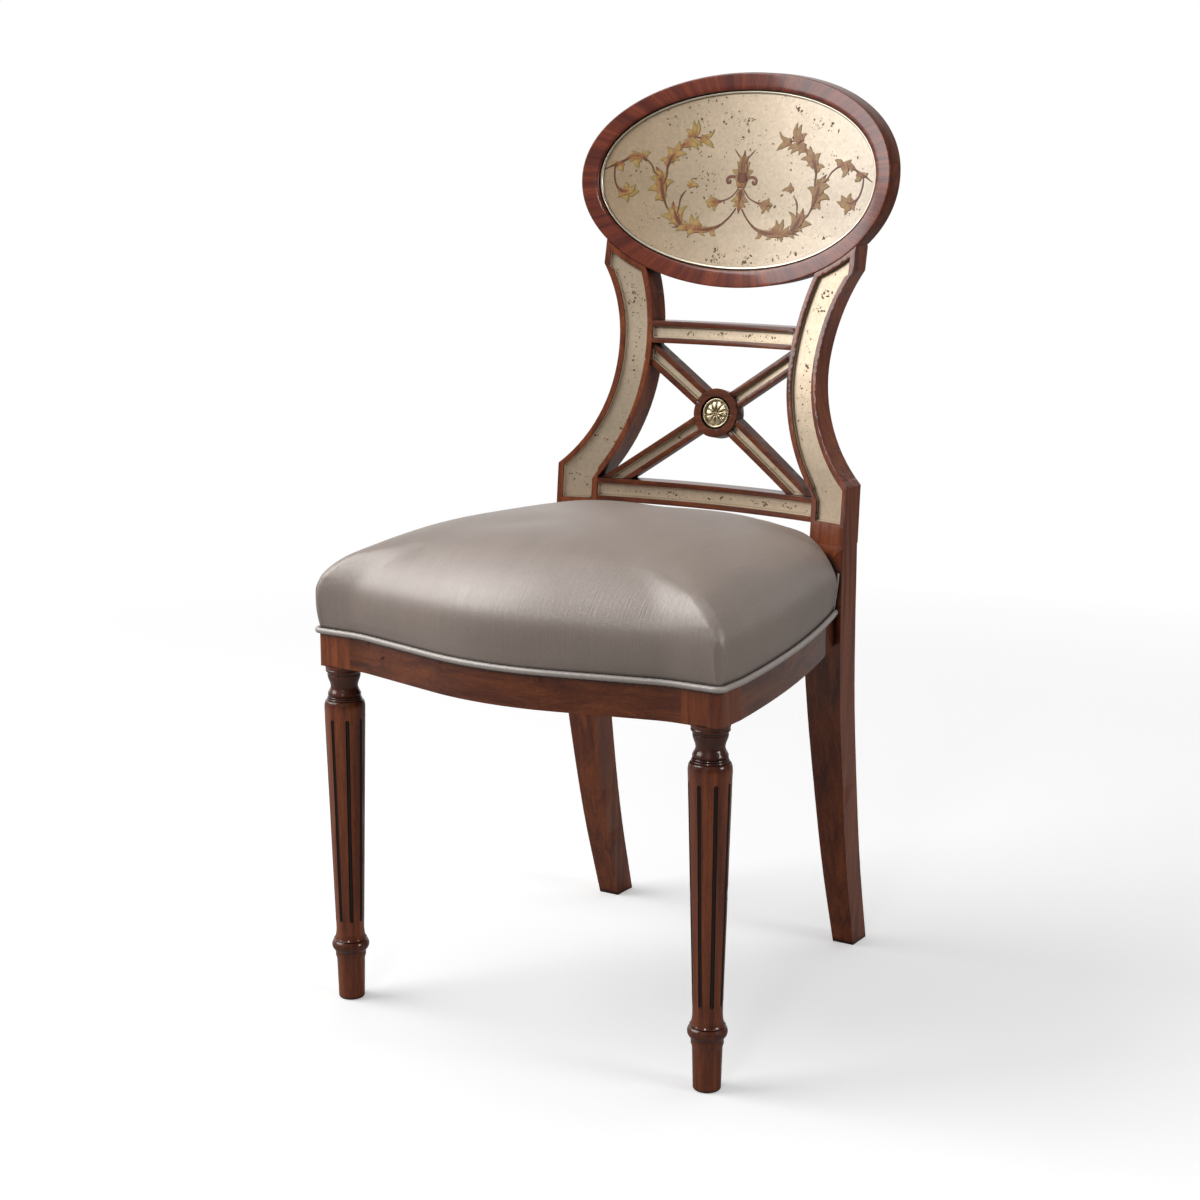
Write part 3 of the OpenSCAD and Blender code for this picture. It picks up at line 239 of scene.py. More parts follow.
def place(tree, scale=(1, 1, 1), turn=(0, 0, 0), move=(0, 0, 0), vector=None):
    """Mapped coordinates, the object's own unless a vector is given."""
    if vector is None:
        vector = add(tree, "TexCoord").outputs["Object"]
    made = add(tree, "Mapping", {
        "Vector": vector, "Scale": scale, "Rotation": [math.radians(a) for a in turn],
        "Location": move,
    })
    return made.outputs[0]


def rgb(red, green, blue):
    return (red, green, blue, 1)


WHITE = rgb(1, 1, 1)


def new_material(name, **sockets):
    """A material with its tree and shader. Underscores stand for spaces in the sockets' names."""
    made = bpy.data.materials.new(name)
    made.use_nodes = True
    tree = made.node_tree
    shader = tree.nodes["Principled BSDF"]
    for key, value in sockets.items():
        feed(tree, shader.inputs[key.replace("_", " ")], value)
    return made, tree, shader


def bump(tree, height, strength, distance, normal=None):
    sockets = {"Height": height, "Strength": strength, "Distance": distance}
    if normal is not None:
        sockets["Normal"] = normal
    return add(tree, "Bump", sockets).outputs[0]


def hollow_shade_mask(tree, distance, low, high):
    """Mask for painted shade with dirt, from occlusion: 0 deep in a hollow, 1 in the open."""
    shade = add(tree, "AmbientOcclusion", {"Distance": distance}, samples=8).outputs["AO"]
    return ramp(tree, shade, (low, 0.0), (high, 1.0))


def object_axes(tree):
    """Place along the three axes of the object, in metres."""
    return add(tree, "SeparateXYZ", {0: add(tree, "TexCoord").outputs["Object"]}).outputs


def tint(tree, base, share, source, *stops):
    """Darkens and lightens a colour along a ramp."""
    return mix(tree, share, base, ramp(tree, source, *stops), "MULTIPLY")


def paint_shade_and_dirt(tree, base, reach, low, high, share, shade_and_dirt):
    """Paints shade, with dirt, into the hollows of a colour."""
    hollow = hollow_shade_mask(tree, reach, low, high)
    return mix(tree, hollow, mix(tree, share, base, shade_and_dirt), base)


def highest(tree, first, *others):
    """The greatest of several values."""
    for other in others:
        first = calc(tree, "MAXIMUM", first, other)
    return first


def surface(tree, shader, base, height, strength, distance=FINE_RELIEF, under=None):
    """Gives a shader its colour and its relief."""
    feed(tree, shader.inputs["Base Color"], base)
    feed(tree, shader.inputs["Normal"], bump(tree, height, strength, distance, under))


WOOD_DARK = rgb(0.060, 0.0120, 0.0045)
WOOD_MID = rgb(0.130, 0.0265, 0.0072)
WOOD_LIGHT = rgb(0.250, 0.0620, 0.0145)
GRAIN_STRETCH = 18


def wood_material(name, along, seed, turn=(0, 0, 0), tone=1.0, reach=0.009, shade_and_glaze=(), coat=0.85):
    """Polished mahogany with its grain along one axis, painted shade with dark glaze in the hollows."""
    made, tree, shader = new_material(
        "wood_" + name, Roughness=0.34, Coat_Weight=coat, Coat_Roughness=0.05, Specular_IOR_Level=0.25
    )
    stretch = [1 if axis == along else GRAIN_STRETCH for axis in "XYZ"]
    grain = place(tree, stretch, turn, (seed, seed * 1.7, seed * 0.6))
    figure = noise(tree, grain, 5.0, 4.0, 0.6, 0.6)
    streaks = noise(tree, grain, 42.0, 3.0, 0.65)
    pores = noise(tree, grain, 160.0, 2.0, 0.6)
    base = ramp(tree, figure, (0.25, WOOD_DARK), (0.42, WOOD_MID), (0.72, WOOD_LIGHT))
    base = tint(tree, base, 0.55, streaks, (0.3, 0.35), (0.7, 1.25))
    base = tint(tree, base, 0.5, pores, (0.36, 0.3), (0.46, 1.0))
    base = mix(tree, 1.0, base, (tone, tone, tone, 1), "MULTIPLY")
    # Darker bands by height: painted shade with dark glaze on the turned neck and rings
    if shade_and_glaze:
        dark = ramp(tree, object_axes(tree)[2], *shade_and_glaze)
        base = mix(tree, dark, base, mix(tree, 0.72, base, rgb(0.022, 0.008, 0.008)))
    # Painted shade, with dark dirt, deep in the hollows of the wood
    base = paint_shade_and_dirt(tree, base, reach, 0.50, 0.88, 0.88, rgb(0.006, 0.002, 0.0015))
    surface(tree, shader, base, pores, 0.25)
    return made


def gilt_material(name, seed, ground, specks=1.0, sides=None):
    """Cream-gold leaf with fine mottling and clusters of dark specks."""
    made, tree, shader = new_material(
        name, Roughness=0.37, Metallic=0.55, Coat_Weight=0.20, Coat_Roughness=0.18
    )
    spot = place(tree, move=(seed, seed * 0.3, seed * 1.9))
    mottle = noise(tree, spot, 260.0, 3.0, 0.7)
    cloud = noise(tree, spot, 22.0, 3.0, 0.6)
    # With sides given, a colour ramp across the oval: painted shade darker on the left, painted sheen paler
    # on the right
    if sides:
        across = calc(tree, "MULTIPLY_ADD", object_axes(tree)[0], 1 / (OVAL_W * MM), 0.5)
        ground = ramp(tree, across, (0.08, sides[0]), (0.45, ground), (0.92, sides[1]))
    base = tint(tree, ground, 0.35, mottle, (0.3, 0.62), (0.7, 1.2))
    base = tint(tree, base, 0.5, cloud, (0.3, 0.82), (0.7, 1.08))
    flecks = add(tree, "TexVoronoi", {"Vector": spot, "Scale": 330.0}, feature="F1")
    ragged = calc(tree, "ADD", flecks.outputs["Distance"], calc(tree, "MULTIPLY", mottle, 0.3))
    size = ramp(tree, add(tree, "SeparateColor", {0: flecks.outputs["Color"]}).outputs[0],
                (0.55, 0.0), (1.0, 1.0))
    fleck = calc(tree, "LESS_THAN", ragged, calc(tree, "MULTIPLY", size, 0.62))
    cluster = ramp(tree, noise(tree, spot, 34.0, 1.0, 0.5), (0.56, 0.0), (0.60, specks))
    lone = ramp(tree, noise(tree, spot, 90.0, 1.0, 0.5), (0.68, 0.0), (0.70, 0.8 * specks))
    mask = calc(tree, "MULTIPLY", fleck, calc(tree, "MAXIMUM", cluster, lone))
    base = mix(tree, calc(tree, "MULTIPLY", mask, 0.85), base, rgb(0.10, 0.055, 0.012))
    # Painted shade, with dirt, in the hollows of the leaf
    base = paint_shade_and_dirt(tree, base, 0.0045, 0.35, 0.75, 0.80, rgb(0.05, 0.038, 0.016))
    surface(tree, shader, base, mottle, 0.25)
    return made


def ring_vector(tree):
    """Direction round the oval, the same all along each radius, for cross-banded grain."""
    parts = object_axes(tree)
    across = calc(tree, "DIVIDE", parts[0], OVAL_W * MM / 2)
    up = calc(tree, "DIVIDE", calc(tree, "SUBTRACT", parts[2], OVAL_Z * MM), OVAL_H * MM / 2)
    flat = add(tree, "CombineXYZ", {0: across, 2: up}).outputs[0]
    return add(tree, "VectorMath", {0: flat}, operation="NORMALIZE").outputs[0]


def veneer_material(name):
    """Polished veneer with its bands of grain across the ring."""
    made, tree, shader = new_material(
        name, Roughness=0.34, Coat_Weight=0.70, Coat_Roughness=0.10, Specular_IOR_Level=0.35
    )
    round_it = ring_vector(tree)
    wave = place(tree, (30, 30, 30), move=(0.2, 1.1, 0.7))
    skew = mix(tree, 0.012, round_it, add(tree, "TexNoise", {"Vector": wave}).outputs[1])
    leaves = noise(tree, skew, 14.0, 2.0, 0.5)
    stripes = noise(tree, skew, 90.0, 4.0, 0.7)
    fine = noise(tree, skew, 340.0, 2.0, 0.6)
    base = ramp(tree, leaves, (0.30, rgb(0.120, 0.0170, 0.0080)), (0.48, rgb(0.20, 0.0330, 0.0130)),
                (0.70, rgb(0.31, 0.0580, 0.0190)))
    base = tint(tree, base, 0.6, stripes, (0.34, 0.42), (0.60, 1.2))
    base = tint(tree, base, 0.4, fine, (0.35, 0.5), (0.6, 1.1))
    # Painted shade, with dirt, in the hollows of the veneer
    base = paint_shade_and_dirt(tree, base, 0.006, 0.45, 0.92, 0.8, rgb(0.008, 0.003, 0.002))
    surface(tree, shader, base, fine, 0.12)
    return made


def metal_material(name, colour, roughness, scale=120.0):
    """Worn metal: brighter and rougher in patches, with painted shade and grime dark in the hollows."""
    made, tree, shader = new_material(name, Metallic=1.0)
    wear = noise(tree, place(tree), scale, 3.0, 0.6)
    # Painted shade, with grime, dark in the hollows
    hollow = hollow_shade_mask(tree, 0.004, 0.35, 0.9)
    base = mix(tree, hollow, rgb(0.05, 0.03, 0.012), mix(tree, wear, colour, rgb(0.9, 0.82, 0.62)))
    feed(tree, shader.inputs["Base Color"], base)
    feed(tree, shader.inputs["Roughness"], ramp(tree, wear, (0.3, roughness), (0.8, roughness + 0.18)))
    return made


def fabric_material(name, colour, pale, gloss=0.08):
    """Satin weave: fine ribs from front to back, slubs and a broad soft sheen."""
    made, tree, shader = new_material(
        name, Roughness=0.43, Metallic=gloss, IOR=1.8, Specular_IOR_Level=0.8,
        Sheen_Weight=0.12, Sheen_Roughness=0.4,
    )
    coords = add(tree, "TexCoord").outputs["Object"]
    normal = add(tree, "NewGeometry").outputs["Normal"]
    lean = add(tree, "SeparateXYZ", {0: normal}).outputs[0]
    side = ramp(tree, calc(tree, "ABSOLUTE", lean), (0.62, 0.0), (0.80, 1.0))
    front = noise(tree, place(tree, (260, 3, 3), vector=coords), 4.0, 3.0, 0.7)
    flank = noise(tree, place(tree, (3, 260, 3), vector=coords), 4.0, 3.0, 0.7)
    slub = mix(tree, side, front, flank)
    bands = noise(tree, place(tree, (26, 2, 2), vector=coords), 1.0, 2.0, 0.5)
    cloud = noise(tree, coords, 9.0, 2.0, 0.5)
    base = mix(tree, ramp(tree, cloud, (0.3, 0.0), (0.7, 1.0)), colour, pale)
    base = tint(tree, base, 0.30, slub, (0.3, 0.72), (0.7, 1.22))
    base = tint(tree, base, 0.35, bands, (0.3, 0.85), (0.7, 1.1))
    weave = noise(tree, coords, 620.0, 2.0, 0.65)
    base = tint(tree, base, 0.42, weave, (0.32, 0.80), (0.68, 1.16))
    # Painted shade, with dirt, in the folds and hollows of the cover
    base = paint_shade_and_dirt(tree, base, 0.005, 0.30, 0.85, 0.8, rgb(0.03, 0.024, 0.020))
    surface(tree, shader, base, weave, 0.22, under=bump(tree, slub, 0.45, 0.0008))
    return made


def scroll_material(name):
    """Brown-red stems, ochre leaves with olive tips and fine dark lines."""
    made, tree, shader = new_material(name, Roughness=0.45, Coat_Weight=0.2, Coat_Roughness=0.25)
    shade = add(tree, "Attribute", attribute_name="shade")
    parts = add(tree, "SeparateColor", {0: shade.outputs["Color"]}).outputs
    side = shade.outputs["Alpha"]
    patch = noise(tree, place(tree), 160.0, 2.0, 0.6)
    leaf = ramp(tree, parts[1], (0.0, rgb(0.30, 0.085, 0.032)), (0.22, rgb(0.43, 0.19, 0.060)),
                (0.5, rgb(0.53, 0.335, 0.095)), (0.95, rgb(0.36, 0.255, 0.070)))
    line = ramp(tree, parts[0], (0.72, 0.0), (0.96, 1.0))
    leaf = mix(tree, calc(tree, "MULTIPLY", line, 0.7), leaf, rgb(0.16, 0.080, 0.026))
    stem = mix(tree, parts[0], rgb(0.235, 0.072, 0.030), rgb(0.130, 0.046, 0.019))
    colour = mix(tree, parts[2], stem, leaf)
    # On the right half the colour goes towards pinkish brown, more on the leaves
    right_half_tint = calc(tree, "MULTIPLY", side, calc(tree, "MULTIPLY_ADD", parts[2], 0.26, 0.18))
    colour = mix(tree, right_half_tint, colour, rgb(0.34, 0.175, 0.105))
    colour = tint(tree, colour, 0.45, patch, (0.3, 0.72), (0.7, 1.28))
    feed(tree, shader.inputs["Base Color"], colour)
    return made


def plain_material(name, colour, roughness, scale):
    """One colour with an even mottling."""
    made, tree, shader = new_material(name, Roughness=roughness)
    weave = noise(tree, place(tree), scale, 3.0, 0.6)
    base = tint(tree, colour, 0.5, weave, (0.3, 0.6), (0.7, 1.2))
    surface(tree, shader, base, weave, 0.4, 2 * FINE_RELIEF)
    return made


LATTICE_TURN = 34.6
ARM_TURN = {
    "upper_right": -LATTICE_TURN, "lower_left": -LATTICE_TURN,
    "upper_left": LATTICE_TURN, "lower_right": LATTICE_TURN,
}
LEAF_COLOUR = rgb(0.69, 0.55, 0.395)
bare_wood = plain_material("bare_wood", rgb(0.42, 0.28, 0.15), 0.7, 90.0)
jute = plain_material("jute", rgb(0.50, 0.39, 0.23), 0.85, 700.0)
black_cloth = plain_material("black_cloth", rgb(0.035, 0.034, 0.034), 0.9, 900.0)
gilt = gilt_material("gilt_leaf", 0.37, LEAF_COLOUR)
# Panel leaf: painted shade darker on the left, painted sheen paler on the right
panel_leaf = gilt_material("panel_leaf", 2.1, LEAF_COLOUR, 0.9,
                           (rgb(0.65, 0.475, 0.30), rgb(0.60, 0.515, 0.415)))
brass = metal_material("brass", rgb(0.72, 0.55, 0.28), 0.24)
fillet_metal = metal_material("fillet_metal", rgb(0.90, 0.82, 0.70), 0.30, 18.0)
satin = fabric_material("satin", rgb(0.312, 0.243, 0.204), rgb(0.345, 0.271, 0.229))
piping_satin = fabric_material("piping_satin", rgb(0.46, 0.40, 0.365), rgb(0.50, 0.44, 0.40), 0.10)
ring_veneer = veneer_material("ring_veneer")
scroll_paint = scroll_material("scroll_paint")
# Near-black for the flute skins, painted shade with dark glaze, and for the rail's dark mark
dark_glaze_and_shade = plain_material("dark_glaze_and_shade", rgb(0.020, 0.0085, 0.0050), 0.30, 300.0)
fleck_paint = plain_material("fleck_paint", rgb(0.175, 0.105, 0.036), 0.6, 400.0)
# Heights in metres, and how much painted shade with dark glaze the turned rings of the front legs get there
LEG_SHADE_AND_GLAZE = (
    (0.000, 0.5), (0.004, 0.2), (0.050, 0.3), (0.0545, 0.75), (0.066, 0.75), (0.074, 0.1), (0.322, 0.0),
    (0.331, 1.0), (0.3665, 0.9), (0.369, 0.0),
)
MATERIALS = {
    "front_leg_left": wood_material("leg_left", "Z", 1.3, tone=1.7, reach=0.0055, shade_and_glaze=LEG_SHADE_AND_GLAZE),
    "front_leg_right": wood_material("leg_right", "Z", 4.1, tone=1.45, reach=0.0055, shade_and_glaze=LEG_SHADE_AND_GLAZE),
    "rear_leg_left": wood_material("rear_left", "Z", 7.7, tone=1.5),
    "rear_leg_right": wood_material("rear_right", "Z", 5.2, tone=1.5),
    "front_rail": wood_material("front_rail", "X", 2.6, tone=1.12),
    "side_rail_left": wood_material("side_left", "Y", 3.1),
    "side_rail_right": wood_material("side_right", "Y", 8.4),
    "rear_rail": wood_material("rear_rail", "X", 9.2),
    "upper_cross_rail": wood_material("upper_rail", "X", 6.6, coat=0.4),
    "lower_cross_rail": wood_material("lower_rail", "X", 0.8, coat=0.4),
    "roundel": wood_material("roundel", "X", 1.9),
    "oval_back_board": wood_material("board", "Z", 3.9),
    "oval_panel": panel_leaf,
    "rosette_stud": brass,
    "block_screws": metal_material("steel", rgb(0.45, 0.45, 0.46), 0.35),
    "dust_cover": black_cloth,
}
for arm, turn in ARM_TURN.items():
    MATERIALS["lattice_arm_" + arm] = wood_material("arm_" + arm, "X", 2.2, (0, turn, 0), coat=0.4)
for name in NODES:
    if "channel" in name:
        MATERIALS[name] = gilt
    if "dowels" in name or "corner_block" in name:
        MATERIALS[name] = bare_wood

# Softened edges on the wood, in millimetres: welded seams, then a small bevel
EDGE = {"rear_leg": 1.3, "rail": 1.0, "lattice_arm": 1.5, "roundel": 1.4, "oval_back_board": 1.0}
WELD_GAP = 0.02
CRISP_OVER = 50


def soften(piece, width):
    weld = piece.modifiers.new("weld", "WELD")
    weld.merge_threshold = WELD_GAP * MM
    bevel = piece.modifiers.new("bevel", "BEVEL")
    bevel.width = width * MM
    bevel.segments = 3
    bevel.limit_method = "ANGLE"
    bevel.angle_limit = math.radians(CRISP_OVER)
    bevel.use_clamp_overlap = True
    bevel.harden_normals = True


for name, piece in NODES.items():
    piece.data.materials.clear()
    piece.data.materials.append(MATERIALS.get(name, jute))
    for word, width in EDGE.items():
        if word in name and "dowel" not in name and "channel" not in name:
            soften(piece, width)


# Mesh helpers
def make_mesh(name, points, faces, material, smooth=True):
    mesh = bpy.data.meshes.new(name)
    mesh.from_pydata(points, [], faces)
    mesh.validate()
    bm = bmesh.new()
    bm.from_mesh(mesh)
    bmesh.ops.recalc_face_normals(bm, faces=bm.faces)
    bm.to_mesh(mesh)
    bm.free()
    mesh.polygons.foreach_set("use_smooth", [smooth] * len(mesh.polygons))
    mesh.materials.append(material)
    piece = bpy.data.objects.new(name, mesh)
    scene.collection.objects.link(piece)
    return piece


def grid_faces(rows, columns, closed):
    wrap = columns if closed else columns - 1
    return [
        (k * columns + i, k * columns + (i + 1) % columns,
         (k + 1) * columns + (i + 1) % columns, (k + 1) * columns + i)
        for k in range(rows - 1) for i in range(wrap)
    ]


def moved(faces, first):
    """The same faces, for points that start at another number."""
    return [tuple(first + i for i in face) for face in faces]


def thicken(piece, depth):
    """Gives a skin its own thickness."""
    solid = piece.modifiers.new("solid", "SOLIDIFY")
    solid.thickness = depth * MM
    solid.offset = -1
    return piece


def dress(piece, slot, *nodes):
    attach(piece, "root")
    if nodes:
        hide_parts(*nodes)
    return piece


# Seat outline, as in the CAD
def arc(centre, radius, a0, a1, count):
    return [
        (centre[0] + radius * math.cos(math.radians(a0 + (a1 - a0) * i / count)),
         centre[1] + radius * math.sin(math.radians(a0 + (a1 - a0) * i / count)))
        for i in range(count + 1)
    ]


def half_outline(inset):
    span = BOW_R + REVERSE_R
    rise = span - BOW_DEPTH
    turn = math.degrees(math.atan2(BLOCK_IN_X, rise)
                        - math.acos(span / math.hypot(BLOCK_IN_X, rise)))
    corner = max(CORNER_R - inset, 0.5)
    start = np.array((SEAT_HALF_W, BLOCK_Y + BLOCK_D))
    end = np.array((SEAT_BACK_HALF_W, SEAT_DEPTH))
    chord = float(np.linalg.norm(end - start))
    radius = chord * chord / (8 * SIDE_BOW) + SIDE_BOW / 2
    along = math.degrees(math.atan2(end[1] - start[1], end[0] - start[0]))
    half = math.degrees(math.asin(chord / (2 * radius)))
    out = np.array((math.cos(math.radians(along + 90)), math.sin(math.radians(along + 90))))
    centre = (start + end) / 2 + (radius - SIDE_BOW) * out
    return (
        arc((0, FRONT_Y + BOW_R), BOW_R - inset, -90, turn - 90, 60)
        + arc((BLOCK_IN_X, BLOCK_Y - REVERSE_R), REVERSE_R + inset, 90 + turn, 90, 24)
        + arc((SEAT_HALF_W - inset - corner, BLOCK_Y + inset + corner), corner, -90, 0, 16)
        + arc(centre, radius - inset, along - 90 - half, along - 90 + half, 80)
    )


def spread(points, step, fine_step=None, near=None, reach=0.0):
    """The same path with even steps, finer round one of its points."""
    path = np.array(points, float)
    lengths = run_along(path)
    total = lengths[-1]
    places = [0.0]
    focus = None
    if fine_step is not None:
        focus = lengths[int(np.argmin(np.linalg.norm(path - np.array(near), axis=1)))]
    while places[-1] < total - step * 0.6:
        here = step
        if focus is not None:
            away = abs(places[-1] - focus)
            here = fine_step + (step - fine_step) * min(1.0, max(0.0, away - reach) / reach)
        places.append(places[-1] + here)
    places[-1] = total
    return np.array([[np.interp(p, lengths, path[:, k]) for k in range(path.shape[1])]
                     for p in places])


# Cushion
CUSHION_C = np.array((0.0, 121.5))
CORNER_SOFT = 0.15
CORNER_SPREAD = 15.3
CORNER = np.array((SEAT_HALF_W, BLOCK_Y))
TOP_SPACING = 1.7
LEG_GAP = 0.4
SMOOTH_CELL = 8.0
SMOOTH_REACH = 7
BEND_REACH = 32.0
BEND_EASE = 11.0
SMOOTH_FROM = 30.0
SMOOTH_FADE = 70.0
SIDE_ROWS = 22
TOP_ROWS = 60
CORNER_FINE = 14.0
NOTCH_FRONT = 34.0
NOTCH_SIDE = 30.0
TOP_SHARE = 0.996


def smooth_step(share):
    """From 0 to 1 with level ends."""
    return share * share * (3 - 2 * share)


def swell_at(depth):
    back = np.clip((depth - SEAT_DEPTH + SWELL_FADE) / SWELL_FADE, 0, 1)
    return SWELL + (FLANK_SWELL - SWELL) * smooth_step(back)


def bearing(flat):
    """Angle from straight ahead, the same on both sides."""
    return np.degrees(np.arctan2(abs(flat[:, 0]), CUSHION_C[1] - flat[:, 1]))


def cushion_columns(step, fine_step=None):
    """Foot and top of the cover's wall round the seat and its notches for the rear legs."""
    side = spread(half_outline(0), step, fine_step, CORNER, CORNER_FINE)
    out = outward(side)
    notch = np.array((LEG_IN_X - LEG_GAP, SEAT_DEPTH - LEG_GAP))
    share = np.linspace(0, 1, max(4, int(NOTCH_FRONT / (fine_step or step))))[1:, None]
    drop = np.linspace(0, 1, max(4, int(NOTCH_SIDE / (fine_step or step))))[1:, None]
    across = np.linspace(1, 0, max(6, int(LEG_IN_X / step)))[1:]

    def closed(edge, rear_y):
        """An edge carried on round the notch to the rear's middle, with its mirror image."""
        edge[-1, 1] = notch[1]
        half = np.vstack([
            edge,
            edge[-1] + (notch - edge[-1]) * share,
            notch + ((notch[0], rear_y) - notch) * drop,
            [(notch[0] * s, rear_y) for s in across],
        ])
        return np.vstack([half, half[-2:0:-1] * (-1.0, 1.0)])

    return (closed(side - COVER_IN * out, REAR_BACK_Y - COVER_IN),
            closed(side + swell_at(side[:, 1])[:, None] * out, REAR_BACK_Y + REAR_SWELL))


def cushion_grid(step, fine_step, side_rows, top_rows):
    """Rows of points from the foot of the cover to the crown's middle."""
    foot, top = cushion_columns(step, fine_step)
    side = spread(half_outline(0), step)
    full = np.vstack([side + swell_at(side[:, 1])[:, None] * outward(side),
                      [(SEAT_BACK_HALF_W + FLANK_SWELL, REAR_BACK_Y), (0, REAR_BACK_Y + REAR_SWELL)]])
    whole = np.interp(bearing(top), bearing(full), np.linalg.norm(full - CUSHION_C, axis=1))
    ray = top - CUSHION_C
    reach = np.linalg.norm(ray, axis=1)
    whole = np.maximum(whole, reach)
    corner = math.degrees(math.atan2(SEAT_HALF_W, CUSHION_C[1] - BLOCK_Y))
    soft = CORNER_SOFT * np.exp(-(((bearing(top) - corner) / CORNER_SPREAD) ** 2))

    def height(flat, left):
        lift = ROLL_H * (1 - soft) * np.sqrt(1 - np.clip(1 - (whole - left) / ROLL_W, 0, 1) ** 2)
        gap = np.hypot(abs(flat[:, 0]) - DIP_X, flat[:, 1] - SEAT_DEPTH) / DIP_SPREAD
        lift += CROWN_H * (1 - (left / whole) ** CROWN_POWER) - REAR_DIP * np.exp(-gap * gap)
        return RAIL_MID_Z + SIDE_H + lift

    edge_z = height(top, reach)
    rows = []
    for k in range(side_rows + 1):
        t = k / side_rows
        flat = foot + (top - foot) * math.sin(math.pi / 2 * t)
        rows.append(np.c_[flat, RAIL_MID_Z + (edge_z - RAIL_MID_Z) * t])
    for k in range(1, top_rows + 1):
        left = reach * (1 - min((k / top_rows) ** TOP_SPACING, TOP_SHARE))
        flat = CUSHION_C + ray * (left / reach)[:, None]
        rows.append(np.c_[flat, height(flat, left)])
    return np.array(rows)


def ease_bend(rows, first):
    """Spreads the bend between the wall and the roll over a longer stretch of each column."""
    run = np.linalg.norm(np.diff(rows, axis=0), axis=2)
    place = np.concatenate([np.zeros((1, rows.shape[1])), np.cumsum(run, axis=0)])
    place -= place[first]
    share = np.clip((BEND_REACH - abs(place)) / BEND_EASE, 0, 1)
    length = np.gradient(place, axis=0)
    eased = rows.copy()
    for k in np.flatnonzero(share.max(1) > 0):
        weight = np.exp(-(((place - place[k]) / BEND_EASE) ** 2)) * length
        mean = (weight[:, :, None] * rows).sum(0) / weight.sum(0)[:, None]
        eased[k] += (mean - rows[k]) * share[k][:, None]
    return eased


def smooth_middle(rows, first):
    """Evens out the crown away from the roll, where rays from the corners meet."""
    top = rows[first:]
    cell = SMOOTH_CELL
    low = top[:, :, :2].min((0, 1)) - cell
    size = np.ceil((top[:, :, :2].max((0, 1)) + cell - low) / cell).astype(int) + 1
    place = np.rint((top[:, :, :2] - low) / cell).astype(int).reshape(-1, 2)
    total, count = np.zeros(size), np.zeros(size)
    np.add.at(total, (place[:, 0], place[:, 1]), top[:, :, 2].ravel())
    np.add.at(count, (place[:, 0], place[:, 1]), 1)
    steps = np.arange(-SMOOTH_REACH, SMOOTH_REACH + 1)
    kernel = np.exp(-((steps / (SMOOTH_REACH / 2.2)) ** 2))
    total /= np.maximum(count, 1)
    count = (count > 0) * 1.0
    for axis in (0, 1):
        total, count = (np.apply_along_axis(np.convolve, axis, part, kernel, "same")
                        for part in (total, count))
    even = total / np.maximum(count, 1e-9)
    flat = (top[:, :, :2] - low) / cell
    first_cell = np.clip(np.floor(flat).astype(int), 0, size - 2)
    (i, j), (u, v) = np.moveaxis(first_cell, 2, 0), np.moveaxis(flat - first_cell, 2, 0)
    here = ((even[i, j] * (1 - u) + even[i + 1, j] * u) * (1 - v)
            + (even[i, j + 1] * (1 - u) + even[i + 1, j + 1] * u) * v)
    reach = np.linalg.norm(top[:, :, :2] - CUSHION_C, axis=2)
    share = smooth_step(np.clip((reach[0] - reach - SMOOTH_FROM) / SMOOTH_FADE, 0, 1))
    top[:, :, 2] += (here - top[:, :, 2]) * share
    return rows


def close_grid(rows):
    """Points and faces of a closed form from rows of points: flat foot, and a fan at the top."""
    count, columns = rows.shape[:2]
    points = [tuple(p) for row in rows for p in row]
    faces = grid_faces(count, columns, True)
    foot, top = len(points), len(points) + 1
    points.append((*CUSHION_C, float(rows[0, 0, 2])))
    points.append(tuple(rows[-1].mean(0)))
    last = (count - 1) * columns
    faces += [(foot, (i + 1) % columns, i) for i in range(columns)]
    faces += [(top, last + i, last + (i + 1) % columns) for i in range(columns)]
    return points, faces


SIM_FRAMES = 20
SIM_VOXEL = 6.0
SIM_CAP = 9.0
SHRINK = 2.0
SIM_SHARE = 0.5
SIM_STEP = 12.0
SIM_SIDE_ROWS = 5
SIM_TOP_ROWS = 16
CLOTH = {
    "quality": 6, "use_pressure": True, "uniform_pressure_force": 4.0, "tension_stiffness": 18,
    "compression_stiffness": 12, "bending_stiffness": 0.4,
}
HELD_UP_TO = 7.0
FOOT_HELD = 6.0
FOOT_FADE = 14.0
CROWN_FROM = 14.0
LEG_CLEAR = 20.0
LEG_FADE = 60.0
MOVE_CAP = 4.0
EASE_COUNT = 60
EASE_REACH = 24.0
FULL_STEPS = (3.2, 0.7)


